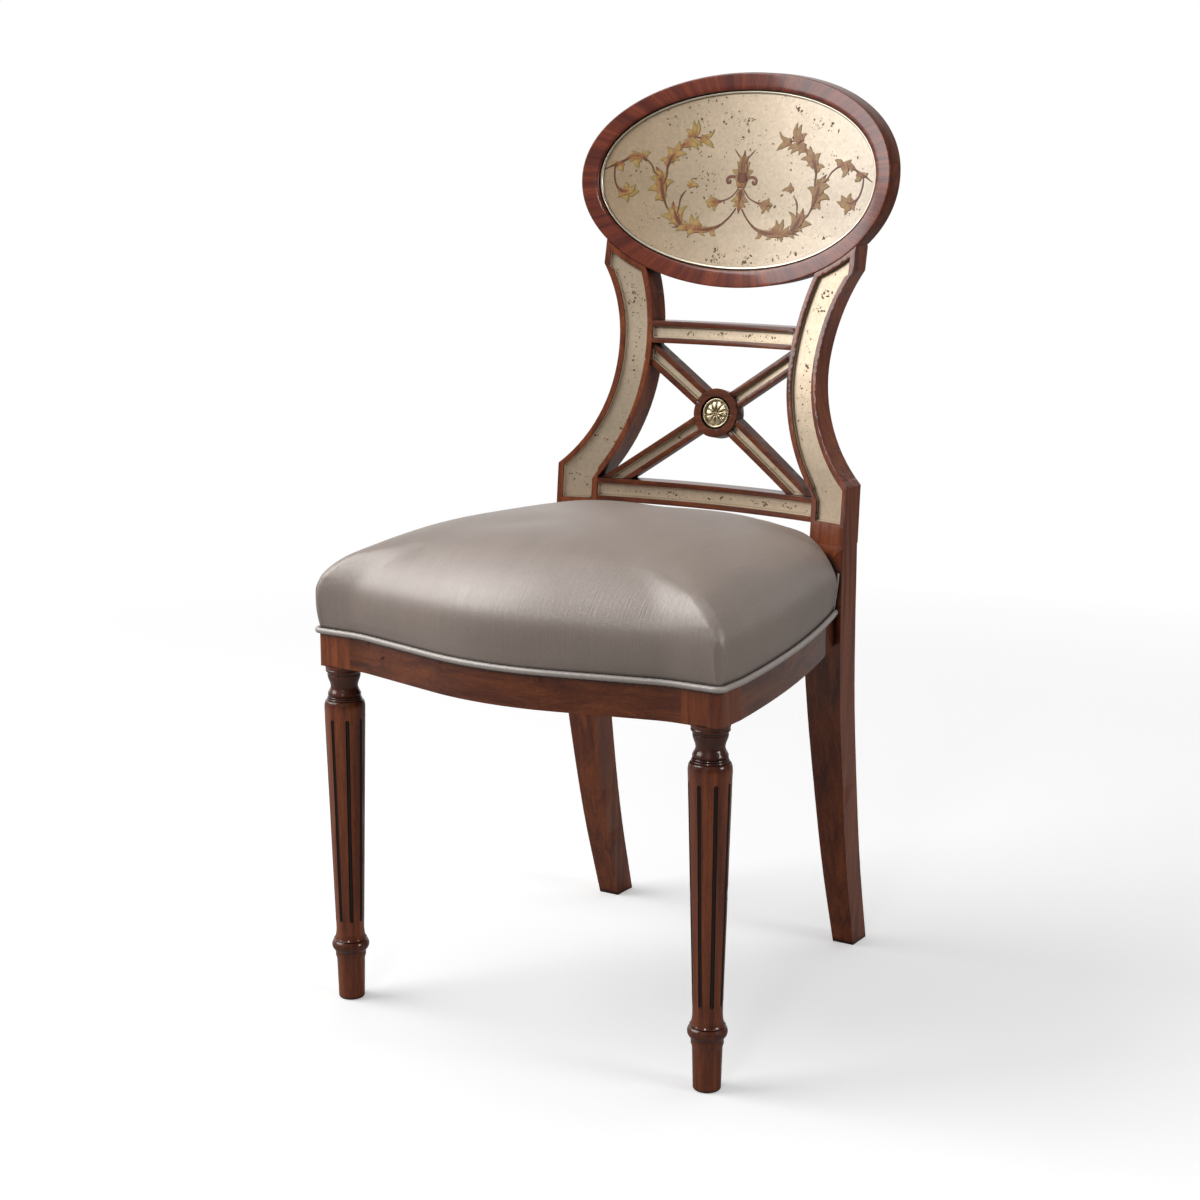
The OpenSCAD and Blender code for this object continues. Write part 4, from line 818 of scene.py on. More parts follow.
def inflate():
    """Cloth run on a coarse copy of the cushion: where its points start, and how far they go."""
    rows = cushion_grid(SIM_STEP, None, SIM_SIDE_ROWS, SIM_TOP_ROWS)
    rows[:, :, :2] = CUSHION_C + (rows[:, :, :2] - CUSHION_C) * (1 - SHRINK / SEAT_HALF_W)
    rows[SIM_SIDE_ROWS:, :, 2] -= SHRINK
    points, faces = close_grid(rows)
    pad = make_mesh("seat_blank", metres(points), faces, satin)
    remesh = pad.modifiers.new("remesh", "REMESH")
    remesh.mode = "VOXEL"
    remesh.voxel_size = SIM_VOXEL * MM
    bpy.context.view_layer.objects.active = pad
    pad.select_set(True)
    bpy.ops.object.modifier_apply(modifier=remesh.name)
    group = pad.vertex_groups.new(name="held")
    start = np.array([v.co for v in pad.data.vertices])
    held = [i for i, p in enumerate(start) if p[2] < (RAIL_MID_Z + HELD_UP_TO) * MM]
    group.add(held, 1.0, "REPLACE")
    cloth = pad.modifiers.new("cloth", "CLOTH")
    for name, value in CLOTH.items():
        setattr(cloth.settings, name, value)
    cloth.settings.vertex_group_mass = group.name
    cloth.settings.effector_weights.gravity = 0
    cloth.collision_settings.use_collision = False
    for number in range(1, SIM_FRAMES + 1):
        scene.frame_set(number)
    done = pad.evaluated_get(bpy.context.evaluated_depsgraph_get()).data
    end = np.array([v.co for v in done.vertices])
    scene.frame_set(1)
    bpy.data.objects.remove(pad)
    move = end - start
    length = np.linalg.norm(move, axis=1)
    limit = np.minimum(1.0, SIM_CAP * MM / np.maximum(length, 1e-9))
    return start, move * limit[:, None]


# Creases in the cover: two ends in x, y and z, width and depth, all in millimetres
CREASES = (
    ((-60, -62, 434), (48, -62, 440), 2.2, 0.45),
    ((-196, -26, 432), (-150, -34, 446), 2.0, 0.40),
    ((232, 40, 428), (222, 110, 436), 2.4, 0.40),
    ((214, 190, 438), (208, 212, 452), 1.8, 0.50),
    ((205, 200, 440), (200, 222, 456), 1.6, 0.45),
    ((60, 268, 505), (96, 262, 503), 1.8, 0.35),
    ((-206, -22, 415), (-214, -20, 432), 1.8, 0.35),
)
PLEAT_H = SIDE_H + 13.0
PLEAT_OUT = 2.5
PLEAT_DEPTH = 2.6
PLEAT_W = 2.38
PLEAT_REACH = 60.0
FLAP_AT = 11.2
FLAP_DEPTH = 0.8
FLAP_FADE = 22.0
TOP_CREASE_Z = 460.0
TUCK_DEPTH = 5.0
TUCK_REACH = 9.0
TUCK_ABOVE = 30.0


def cushion_details(rows):
    """Corner pleats, creases and the tuck beside the rear legs, on the dense rows."""
    flat = rows.reshape(-1, 3)
    around = np.roll(rows, -1, 1) - np.roll(rows, 1, 1)
    lean = np.stack([around[:, :, 1], -around[:, :, 0]], -1).reshape(-1, 2)
    lean /= np.linalg.norm(lean, axis=1)[:, None]
    for sign in (-1, 1):
        corner = np.array((sign * (SEAT_HALF_W + PLEAT_OUT), BLOCK_Y - PLEAT_OUT))
        gap = np.linalg.norm(flat[:, :2] - corner, axis=1)
        tangent = (flat[:, 0] * sign - corner[0] * sign) - (flat[:, 1] - corner[1])
        rise = np.clip((flat[:, 2] - RAIL_MID_Z) / PLEAT_H, 0, 1)
        fade = np.clip((1 - rise) / 0.06, 0, 1)
        groove = PLEAT_DEPTH * np.exp(-((tangent / PLEAT_W) ** 2)) * fade
        beyond = tangent + FLAP_AT * (1 - rise * 0.85)
        flap = FLAP_DEPTH / (1 + np.exp(beyond / 0.8)) * fade
        flap *= np.exp(-((np.minimum(beyond, 0) / FLAP_FADE) ** 2))
        flat[:, :2] -= lean * ((groove + flap) * (gap < PLEAT_REACH))[:, None]
    for start, end, width, depth in CREASES:
        a, b = np.array(start, float), np.array(end, float)
        span = b - a
        t = np.clip(((flat - a) @ span) / (span @ span), 0, 1)
        off = np.linalg.norm(flat - a - t[:, None] * span, axis=1)
        ends = np.sin(np.pi * np.clip(t, 0.02, 0.98)) ** 0.6
        dent = depth * ends * np.exp(-((off / width) ** 2))
        flat[:, :2] -= lean * (dent * (flat[:, 2] < TOP_CREASE_Z))[:, None]
        flat[:, 2] -= dent * (flat[:, 2] >= TOP_CREASE_Z)
    for sign in (-1, 1):
        dx = np.maximum(0, LEG_IN_X - sign * flat[:, 0])
        dy = np.maximum(0, SEAT_DEPTH - flat[:, 1])
        tuck = TUCK_DEPTH * np.exp(-((np.hypot(dx, dy) / TUCK_REACH) ** 2))
        flat[:, 2] -= tuck * (flat[:, 2] > RAIL_MID_Z + TUCK_ABOVE)
    return flat.reshape(rows.shape)


def cloth_moves(flat):
    """How far the cloth moves each point, from the coarse copy's points near it."""
    start, move = inflate()
    tree = KDTree(len(start))
    for i, p in enumerate(start):
        tree.insert(p, i)
    tree.balance()
    moves = []
    for p in metres(flat):
        found = tree.find_n(p, EASE_COUNT)
        weights = np.array([math.exp(-(d / (EASE_REACH * MM)) ** 2) + 1e-9 for _, _, d in found])
        moves.append(weights @ move[[j for _, j, _ in found]] / weights.sum())
    return np.array(moves) / MM


def puff(rows):
    """A share of the cloth's moves, fading out at the foot and beside the rear legs."""
    flat = rows.reshape(-1, 3)
    rise = flat[:, 2] - RAIL_MID_Z
    hold = np.clip((rise - FOOT_HELD) / FOOT_FADE, 0, 1)
    shift = cloth_moves(flat) * hold[:, None] * SIM_SHARE
    crown = np.clip((rise - CROWN_FROM) / (SIDE_H + ROLL_H), 0, 1)
    shift[:, 2] -= crown * np.median(shift[crown > 0.8, 2])
    shift *= np.clip((SEAT_DEPTH - LEG_CLEAR - flat[:, 1]) / LEG_FADE, 0, 1)[:, None]
    return (flat + np.clip(shift, -MOVE_CAP, MOVE_CAP)).reshape(rows.shape)


def build_cushion():
    """The seat's soft cover, puffed out by a cloth run."""
    rows = cushion_grid(*FULL_STEPS, SIDE_ROWS, TOP_ROWS)
    rows = puff(rows)
    rows = ease_bend(smooth_middle(rows, SIDE_ROWS), SIDE_ROWS)
    points, faces = close_grid(cushion_details(rows))
    return make_mesh("seat_cushion", metres(points), faces, satin)


cushion = dress(build_cushion(), "cover_fabric", "seat_cover", "seat_foam")


# Piping
PIPING_STEP = 2.4
PIPING_SIDES = 14
PIPING_WAVER = 0.05
CORD_R = 1.35
CORD_RISE = 43.0
CORD_STEPS = 26
CORD_SIDES = 10


def tube(path, radius, sides, wobble=0.0):
    """A round cord along a path, with a slow wobble of its radius."""
    path = np.array(path, float)
    ahead = headings(path)
    points = []
    side = np.cross(ahead[0], (0, 0, 1.0))
    for i, (p, t) in enumerate(zip(path, ahead)):
        side = side - t * (side @ t)
        side /= np.linalg.norm(side)
        up = np.cross(side, t)
        r = radius * (1 + wobble * math.sin(i * 1.9) * math.sin(i * 0.37))
        points += [p + r * (math.cos(a) * side + math.sin(a) * up) for a in turns(sides)]
    faces = grid_faces(len(path), sides, True)
    faces.append(tuple(range(sides)))
    faces.append(tuple(len(path) * sides - 1 - k for k in range(sides)))
    return points, faces


def piping_path():
    half = [(x, y, RAIL_MID_Z + PIPING_R) for x, y in half_outline(-PIPING_OUT)]
    half = spread(half, PIPING_STEP)
    left = [(-x, y, z) for x, y, z in half[::-1]]
    return left[:-1] + [tuple(p) for p in half]


def corner_cord(side):
    """Thin cord up the cover's cut edge in front of a rear leg."""
    path = []
    for t in np.linspace(0, 1, CORD_STEPS):
        wall = (FLANK_SWELL + COVER_IN) * math.sin(math.pi / 2 * CORD_RISE / SIDE_H * t) - COVER_IN
        out = 1.6 * (1 - t) ** 3 + 0.9
        path.append((side * (SEAT_BACK_HALF_W + wall + out), SEAT_DEPTH - CORD_R - 0.6,
                     RAIL_MID_Z + PIPING_R + CORD_RISE * t))
    return tube(path, CORD_R, CORD_SIDES)


points, faces = tube(piping_path(), PIPING_R, PIPING_SIDES, PIPING_WAVER)
for side in (-1, 1):
    more_points, more_faces = corner_cord(side)
    faces += moved(more_faces, len(points))
    points += more_points
dress(make_mesh("piping_front", metres(points), faces, piping_satin), "cover_fabric", "front_piping")
rear = [(x, REAR_BACK_Y + PIPING_OUT, RAIL_MID_Z + PIPING_R)
        for x in np.arange(-LEG_IN_X + 0.3, LEG_IN_X, PIPING_STEP)]
points, faces = tube(rear, PIPING_R, PIPING_SIDES, PIPING_WAVER)
dress(make_mesh("piping_rear", metres(points), faces, piping_satin), "cover_fabric", "rear_piping")


# Oval ring, fillet and rosette
def oval_point(inset, angle):
    c, s = math.cos(angle), math.sin(angle)
    high = (OVAL_H / 2 - inset) * math.copysign(abs(s) ** (2 / OVAL_POWER), s)
    wide = (OVAL_W / 2 - inset) * math.copysign(abs(c) ** (2 / OVAL_POWER), c)
    return wide * (1 + OVAL_EGG * high), OVAL_Z + high


OVAL_STEPS = 288
RING_SECTION = (
    (0.0, RING_T), (0.0, 14.0), (0.0, 1.3), (0.12, 0.7), (0.42, 0.32), (0.95, 0.1), (2.0, 0.04),
    (5.0, 0.0), (9.4, 0.0), (13.6, 0.02), (16.2, 0.12), (17.6, 0.4), (18.4, 0.9), (18.8, 1.7),
    (RING_W, 2.8), (RING_W, PANEL_SET), (RING_W - PANEL_REBATE, PANEL_SET),
    (RING_W - PANEL_REBATE, RING_T - 1.0), (RING_W - PANEL_REBATE - 1.0, RING_T),
)
BEAD_R = 1.55
BEAD_IN = RING_W + 2.1
BEAD_SECTION = tuple(
    (BEAD_IN - BEAD_R * math.cos(a), PANEL_SET - 1.0 - BEAD_R * math.sin(a))
    for a in np.linspace(-0.9, math.pi + 0.9, 13)
)


def oval_loft(section):
    """A cross-section of inset and depth, carried round the oval on the curved back."""
    points = []
    for inset, depth in section:
        points += [on_back(*oval_point(inset, angle), depth) for angle in turns(OVAL_STEPS)]
    faces = grid_faces(len(section), OVAL_STEPS, True)
    last = (len(section) - 1) * OVAL_STEPS
    faces += [(last + i, last + (i + 1) % OVAL_STEPS, (i + 1) % OVAL_STEPS, i)
              for i in range(OVAL_STEPS)]
    return metres(points), faces


def sharpen(piece, angle):
    """Smooth shading with the edges over an angle kept crisp."""
    limit = math.radians(angle)
    bm = bmesh.new()
    bm.from_mesh(piece.data)
    for edge in bm.edges:
        edge.smooth = len(edge.link_faces) != 2 or edge.calc_face_angle(0) < limit
    bm.to_mesh(piece.data)
    bm.free()
    return piece


RING_CRISP_OVER = 40
RIM_ROWS = 3
ring = sharpen(make_mesh("ring", *oval_loft(RING_SECTION), ring_veneer), RING_CRISP_OVER)
ring.data.materials.append(wood_material("ring_edge", "X", 5.9, coat=0.25))
for face in ring.data.polygons:
    face.material_index = int(all(i < RIM_ROWS * OVAL_STEPS for i in face.vertices))
dress(ring, "veneer", "oval_ring")
bead = make_mesh("fillet_bead", *oval_loft(BEAD_SECTION), fillet_metal)
dress(bead, "metal_fillet", "oval_fillet")

PETALS = 10
ROSETTE_RINGS = 64
ROSETTE_SPOKES = 240
RIM_R = 15.6
RIM_HALF = 1.35
RIM_H = 2.6
DISH_R = 14.2


def rosette_height(r, angle):
    """Height of the cast rosette over its foot."""
    if r > DISH_R:
        return 0.6 + RIM_H * math.sqrt(max(0.0, 1 - ((r - RIM_R) / RIM_HALF) ** 2))
    wave = abs(math.cos(PETALS * angle / 2))
    long_petal = math.sin(math.pi * min(1.0, max(0.0, (r - 1.0) / 12.6)) ** 0.8)
    vein = 0.35 * math.exp(-((math.sin(PETALS * angle / 2) / 0.16) ** 2))
    petal = (0.5 + 2.1 * long_petal * wave ** 0.7) - vein * long_petal
    tips = 1 - min(1.0, max(0.0, (r - 10.5 - 2.6 * wave) / 0.7))
    star = 1.9 * max(0.0, 1 - r / (2.2 + 0.8 * math.cos(4 * angle)))
    return 0.5 + petal * max(0.15, tips) + star


def build_rosette():
    """The casting, tilted like the back at the roundel."""
    low, back_y, high = (curve_at(BACK_KNOTS, CENTRE_Z + step) for step in (-1, 0, 1))
    tilt = math.atan2(high - low, 2)
    foot = ROUNDEL_SET + ROUNDEL_SINK
    points = []

    def add_point(r, angle, up):
        rise, back = turned(r * math.sin(angle), foot - up, tilt)
        points.append((r * math.cos(angle), back_y + back, CENTRE_Z + rise))

    for k in range(1, ROSETTE_RINGS + 1):
        r = ROSETTE_R * k / ROSETTE_RINGS
        for angle in turns(ROSETTE_SPOKES):
            add_point(r, angle, rosette_height(r, angle))
    for angle in turns(ROSETTE_SPOKES):
        add_point(ROSETTE_R, angle, 0.0)
    faces = grid_faces(ROSETTE_RINGS + 1, ROSETTE_SPOKES, True)
    middle = len(points)
    add_point(0.0, 0.0, rosette_height(0.0, 0.0))
    faces += [(middle, i, (i + 1) % ROSETTE_SPOKES) for i in range(ROSETTE_SPOKES)]
    under = len(points)
    add_point(0.0, 0.0, 0.0)
    last = ROSETTE_RINGS * ROSETTE_SPOKES
    faces += [(under, last + (i + 1) % ROSETTE_SPOKES, last + i) for i in range(ROSETTE_SPOKES)]
    return metres(points), faces


dress(make_mesh("cast_rosette", *build_rosette(), brass), "brass", "rosette")

# Painted leaf scroll on the panel, in x and height over the oval's middle, for the right half.
# Stems and the middles of the leaf sheaths: width and point, one after another
STEMS = (
    ((1.3, 3, -9), (1.4, 11, -18.7), (1.9, 22.4, -23.8), (5.0, 31.5, -25.3), (0.6, 41, -26.5)),
    ((1.6, 3.5, -31), (1.9, 11.5, -41.8), (2.8, 22.5, -51.2), (4.6, 34, -55.5), (6.4, 46, -56.6),
     (6.6, 58, -55.8), (4.0, 69, -54), (0.4, 81, -56)),
    ((3.2, 68, -54.5), (7.5, 76, -46), (7.5, 81.5, -37), (0.6, 83, -26.5)),
    ((2.0, 80, -42), (2.0, 89, -35), (2.8, 94.5, -25), (7.5, 97.5, -18), (10.0, 99.6, -8),
     (7.5, 103, 3), (0.6, 108.5, 11)),
    ((1.6, 97, -8), (1.8, 94.6, 0), (2.6, 94.6, 11.6), (6.4, 91.8, 21), (7.0, 86, 29),
     (3.2, 77.5, 36.6), (1.6, 70.5, 43.5)),
    ((1.5, 71, 43), (1.5, 63.5, 45.2), (2.2, 57, 44.2)),
    ((1.5, 104.5, 1), (1.5, 109.5, 5), (1.6, 114.6, 13.2), (1.9, 122, 19), (5.6, 130, 22),
     (5.2, 139, 21.2), (2.4, 146.5, 17), (4.2, 153.5, 12.8), (2.0, 161, 10.2), (0.9, 170, 5.4)),
    ((1.4, 157.3, 12), (1.5, 157.8, 5), (1.6, 156.9, -3.3), (2.0, 153.2, -12.4), (4.6, 145, -19),
     (4.6, 138.5, -17), (0.6, 131, -15)),
    ((1.2, 76.5, -40), (1.2, 75.4, -32), (2.0, 73.8, -21.5), (0.5, 68.5, -13.8)),
    ((8.0, 0, -8.5), (12.0, 0, 0), (11.0, 0, 12), (6.0, 0, 22), (0.6, 0, 33)),
    ((1.3, 3, 18), (1.6, 5, 24.5), (1.5, 9, 29), (0.5, 13, 34)),
    ((2.6, 5, 0), (3.2, 10, 3.4), (3.3, 15.5, 3.2), (3.2, 18.6, 0.2), (3.0, 17.2, -3.4),
     (2.6, 14.2, -2.8), (2.0, 14.6, 0)),
    ((4.0, 0, -9.5), (8.0, 0, -18), (7.0, 0, -26), (0.5, 0, -37)),
)
# Lobes of the leaves: base, tip and half width
LOBES = (
    (0, -3, 13.4, 11, 5.6), (0, 4, 8.2, 20.6, 5.2), (0, 12, 5.4, 26.8, 4.0), (0, -6, 9.4, 2.6, 4.2),
    (0, -13, 11.6, -23.5, 3.4), (0, -19, 8.2, -29.6, 3.2), (30, -25, 37.2, -17.4, 3.4),
    (29.5, -25, 29.6, -35.6, 3.2), (31, -25.4, 43.2, -25.2, 4.4), (33, -25.4, 38, -33, 2.6),
    (31, -54.5, 25, -63, 2.6), (45, -57, 38.6, -63.5, 1.8), (52, -56.5, 60, -64.8, 3.4),
    (62, -55.2, 76, -60, 3.0), (46, -55.5, 59, -39.6, 4.6), (46, -55, 50, -41.2, 3.2),
    (57, -55, 67.5, -46.5, 2.6), (73, -50, 96.6, -43.6, 4.6), (73, -49, 64.8, -31.2, 3.6),
    (76, -46, 88.5, -33.8, 4.4), (77, -44, 74, -31, 3.0), (72, -51, 86, -52.5, 2.6),
    (95, -23, 105.2, -27.4, 3.8), (97, -17, 116.2, -16.2, 4.8), (98.5, -10, 114.6, -1.8, 5.2),
    (98, -14, 85, -4.6, 4.2), (99.5, -6, 92.8, 5.4, 3.6), (101, -2, 113, 5.4, 3.4),
    (94, 14, 105, 18.6, 3.2), (91.5, 20, 98, 33.4, 4.2), (88, 26, 83.2, 40.6, 4.0),
    (90.5, 22, 72.4, 25.4, 3.6), (91, 18, 80.5, 18.6, 2.4), (69.8, 43.7, 63.4, 65, 3.6),
    (70, 45, 68.8, 63.4, 3.4), (70, 45, 77.2, 53.4, 3.4), (58, 44.4, 41, 55, 2.6),
    (58, 44.4, 40.2, 33.8, 3.8), (57, 44, 49.5, 44.6, 2.4), (76.5, 37.4, 54, 35.4, 4.2),
    (76.5, 37, 58.4, 30.6, 3.4), (78, 36.4, 69, 30, 2.6), (125.5, 20.5, 117, 26.6, 3.4),
    (130, 22, 129, 8.6, 4.0), (136, 21.6, 140.8, 14.6, 3.4), (128, 21.4, 139, 28.2, 2.8),
    (151, 14, 147, 4.8, 3.6), (155, 12.6, 163, 15, 2.6), (146, -18.6, 143.4, -7.2, 3.6),
    (145, -18, 131, -9.8, 4.4), (145, -19, 125.6, -17, 4.0), (146.5, -18.6, 138.6, -31, 3.8),
    (149, -16.4, 150.6, -26, 2.4), (66, -9.6, 62.6, 0.4, 2.4), (66.4, -9.4, 52.8, -9.8, 2.6),
    (66.6, -9.2, 67.6, -4.4, 1.6),
)
# Red at the foot of each leaf sheath: width and point
FLUSHES = (
    ((7.0, 0, -3), (11.5, 0, 0), (12.0, 0, 4), (7.0, 0, 8.5)),
    ((1.5, 4.4, 5), (1.1, 5, 11), (0.3, 5.2, 17)), ((1.5, 1.5, 6), (1.1, 1.7, 14), (0.3, 1.8, 21)),
    ((3.0, 71, -52), (4.4, 75, -47), (3.0, 78, -42), (0.4, 80.5, -35)),
    ((2.6, 95, -24), (3.6, 97.2, -18), (3.0, 99, -10), (0.4, 101, -1)),
    ((2.2, 94, 13), (3.0, 91.8, 20), (0.4, 87, 28)), ((2.4, 30, -54.4), (3.2, 38, -56.2), (0.4, 50, -56.4)),
    ((3.0, 0, -10), (4.2, 0, -15), (0.4, 0, -27)), ((1.8, 150, -14.8), (2.4, 146, -18), (0.4, 138, -17)),
)
PAINT_TURN = math.radians(-1.9)
PAINT_SHIFT = -1.6
PAINT_LIFT = 0.14
PAINT_LAYERS = 9
LAYER_STEP = 0.012
FLUSH_LIFT = 0.12
PAINT_THICK = 0.12
SHEATH_FROM = 2.6
SHEATH_FADE = 2.4
EDGE_SHADE = 0.42
PAINT_COLUMNS = (-1.0, -0.82, -0.4, 0.0, 0.4, 0.82, 1.0)
LOBE_STEPS = 24
LOBE_BOW = 0.24
STEM_STEPS = 7
FLUSH_STEPS = 6


def smooth_path(points, count):
    """A smooth path through rows of numbers, with even steps."""
    knots = np.array(points, float)
    lengths = run_along(knots)
    places = np.linspace(0, lengths[-1], count)
    return np.array([[curve_at(list(zip(lengths, knots[:, k])), p) for k in range(knots.shape[1])]
                     for p in places])


class Paint:
    """Collects strips of paint that lie on the panel, with a shade at each point."""

    def __init__(self):
        self.points, self.faces, self.shades, self.count = [], [], [], 0

    def strip(self, path, widths, side, leaf, sheathed=1.0):
        """One strip of half widths along a path, on the left or the right side."""
        across = -outward(path)
        first = len(self.points)
        lift = PAINT_LIFT + LAYER_STEP * (self.count % PAINT_LAYERS) + FLUSH_LIFT * (1 - sheathed)
        self.count += 1
        for s, (p, n, w) in enumerate(zip(path, across, widths)):
            for c in PAINT_COLUMNS:
                x, z = p + n * (w[1 if c > 0 else 0] * c)
                u, v = turned(side * x, z, PAINT_TURN)
                self.points.append(on_back(PAINT_SHIFT + u, OVAL_Z + v, PANEL_SET - lift))
                sheath = sheathed * min(1.0, max(leaf, (w[0] + w[1] - SHEATH_FROM) / SHEATH_FADE, 0.0))
                tip = max(s / (len(path) - 1) * leaf, EDGE_SHADE * sheath * abs(c))
                self.shades.append((abs(c), tip, sheath, side * 0.5 + 0.5))
        self.faces += moved(grid_faces(len(path), len(PAINT_COLUMNS), False), first)


def lobe_widths(half, phase):
    """Half widths from base to tip: full at the base, two small teeth, a sharp tip."""
    s = np.linspace(0, 1, LOBE_STEPS)
    teeth = 1 + 0.42 * (((s * 1.7 + phase) % 1.0) - 0.5) * np.sin(np.pi * s)
    return 1.12 * half * (1 - s) ** 0.62 * (1 + 0.25 * np.sin(np.pi * s)) * teeth + 0.08


def paint_scroll():
    """Stems, lobes and flushes of both sides as one thin mesh of paint."""
    paint = Paint()
    stems = [smooth_path([row[1:] for row in stem], STEM_STEPS * len(stem)) for stem in STEMS]
    for side in (-1, 1):
        for stem, path in zip(STEMS, stems):
            full = smooth_path([(*row[1:], row[0]) for row in stem], len(path))
            wide = full[:, 2:] / 2
            wide = wide * (1 + 0.22 * np.clip(wide - 1.5, 0, 1))
            paint.strip(path, np.repeat(wide, 2, axis=1), side, 0.0)
        for number, (*ends, half) in enumerate(LOBES):
            a, b = np.array(ends, float).reshape(2, 2)
            path = min(stems, key=lambda p: np.linalg.norm(p - a, axis=1).min())
            spot = int(np.argmin(np.linalg.norm(path - a, axis=1)))
            along = headings(path)[spot]
            length = np.linalg.norm(b - a)
            straight = (b - a) / length
            away = (along - (along @ straight) * straight) * length * LOBE_BOW
            s = np.linspace(0, 1, LOBE_STEPS)[:, None]
            curve = a + (b - a) * s + away * np.sin(np.pi * s)
            phases = (0.15 + 0.23 * (number % 3), 0.55 + 0.17 * (number % 4))
            paint.strip(curve, np.c_[tuple(lobe_widths(half, p) for p in phases)], side, 1.0)
        for flush in FLUSHES:
            full = smooth_path([(*row[1:], row[0]) for row in flush], FLUSH_STEPS * len(flush))
            paint.strip(full[:, :2], np.repeat(full[:, 2:] / 2, 2, axis=1), side, 0.0, 0.0)
    piece = make_mesh("painted_scroll", metres(paint.points), paint.faces, scroll_paint)
    shade = piece.data.attributes.new("shade", "FLOAT_COLOR", "POINT")
    shade.data.foreach_set("color", np.array(paint.shades, np.float32).ravel())
    return thicken(piece, PAINT_THICK)


# Flecks where the leaf has worn: middle and spread in x and height, then how many
PANEL_FLECKS = (
    (-78, 84, 24, 9, 34), (-28, 96, 20, 6, 20), (-4, 66, 14, 5, 30), (12, 96, 16, 6, 18),
    (-52, 62, 16, 9, 12), (48, 92, 20, 7, 16), (66, 78, 10, 8, 16), (92, 60, 12, 10, 18),
    (-148, 42, 9, 9, 14), (-118, 18, 14, 8, 10), (148, 34, 8, 12, 14), (166, 4, 6, 9, 22),
    (150, -36, 12, 9, 26), (118, -62, 12, 7, 20), (78, -78, 12, 7, 12), (44, -88, 10, 6, 18),
    (16, -90, 9, 7, 20), (-24, -86, 9, 10, 40), (-44, -94, 16, 5, 16), (-84, -76, 9, 6, 10),
    (-128, -58, 12, 9, 26), (-158, -26, 6, 10, 12), (-104, -44, 14, 8, 10), (-8, 44, 8, 6, 10),
    (34, -30, 30, 16, 10), (-40, -4, 30, 18, 10), (110, 60, 14, 8, 12), (0, 0, 120, 70, 60),
)
STILE_FLECKS = (
    (104, 556, 9, 10, 26), (118, 520, 9, 7, 14), (112, 590, 7, 12, 12), (108, 640, 5, 14, 8),
    (108, 690, 5, 12, 14), (118, 724, 7, 8, 18), (124, 742, 7, 6, 12), (110, 664, 5, 8, 8),
)
RAIL_FLECKS = (
    (-96, 512, 16, 3, 12), (-40, 512, 14, 3, 10), (12, 511, 18, 3, 14), (64, 512, 14, 3, 18),
    (106, 512, 10, 3, 16), (-44, 692, 10, 3, 12), (-8, 692, 10, 3, 12), (28, 692, 9, 3, 10),
    (56, 692, 8, 3, 10),
)
FLECK_SIDES = 7


def fleck_points(rng, clusters, sides, depth, inside):
    """Small ragged spots, scattered round each cluster's middle."""
    points, faces = [], []
    for side in sides:
        for x, z, wide, high, count in clusters:
            for _ in range(count):
                u, v = side * (x + rng.gauss(0, wide * 0.55)), z + rng.gauss(0, high * 0.55)
                r = min(1.9, 0.42 + rng.expovariate(2.0))
                if not inside(u, v, r):
                    continue
                first, turn = len(points), rng.uniform(0, math.pi)
                long = rng.uniform(1.0, 1.6)
                for a in turns(FLECK_SIDES):
                    reach = r * rng.uniform(0.6, 1.1)
                    p, q = turned(reach * math.cos(a) * long, reach * math.sin(a) / long, turn)
                    points.append(on_back(u + p, v + q, depth))
                faces.append(tuple(range(first, first + FLECK_SIDES)))
    return points, faces


WAIST_Z = 664.0
WAIST_IN = 88.7
WAIST_OUT = 127.0
IN_RADIUS = {False: 213.9, True: 172.0}
OUT_RADIUS = {False: 160.5, True: 165.0}
CHANNEL_LOW_Z = 506
CHANNEL_HIGH_Z = 752
CHANNEL_MARGIN = 8.5
PANEL_MARGIN = 5.0
RAIL_CHANNEL_D = 5.0
# Middle height and half length of the channels in the lower and the upper cross rail
RAIL_BANDS = ((512.5, 126), (692.5, 80))
RAIL_BAND_HALF = 4.6
BETWEEN_RAILS_Z = 600
FLECK_LIFT = 0.05
FLECK_THICK = 0.06


def in_panel(u, v, r):
    reach = 1 - (r + RING_W + PANEL_MARGIN) / (OVAL_H / 2)
    return math.hypot(u / (OVAL_W / 2), (v - OVAL_Z) / (OVAL_H / 2)) < reach


def in_channel(u, v, r):
    """Within the stile's gilt channel, measured against its curved edges."""
    low = WAIST_IN + (v - WAIST_Z) ** 2 / (2 * IN_RADIUS[v > WAIST_Z])
    high = WAIST_OUT + (v - WAIST_Z) ** 2 / (2 * OUT_RADIUS[v > WAIST_Z])
    margin = CHANNEL_MARGIN + r
    inside = min(LEG_IN_X, low) + margin < abs(u) < high - margin
    return inside and CHANNEL_LOW_Z < v < CHANNEL_HIGH_Z


def in_rail(u, v, r):
    middle, half = RAIL_BANDS[v >= BETWEEN_RAILS_Z]
    return abs(v - middle) < RAIL_BAND_HALF - r and abs(u) < half


def build_flecks(name, depth, clusters, sides, inside, seed):
    points, faces = fleck_points(random.Random(seed), clusters, sides, depth - FLECK_LIFT, inside)
    return thicken(make_mesh(name, metres(points), faces, fleck_paint, False), FLECK_THICK)


panel_clusters = [(x, z + OVAL_Z, w, h, n) for x, z, w, h, n in PANEL_FLECKS]
dress(paint_scroll(), "painted_panel")
dress(build_flecks("panel_flecks", PANEL_SET, panel_clusters, (1,), in_panel, 11), "painted_panel")
dress(build_flecks("stile_flecks", CHANNEL_D, STILE_FLECKS, (-1, 1), in_channel, 5), "gilt")
dress(build_flecks("rail_flecks", RAIL_CHANNEL_D, RAIL_FLECKS, (1,), in_rail, 23), "gilt")

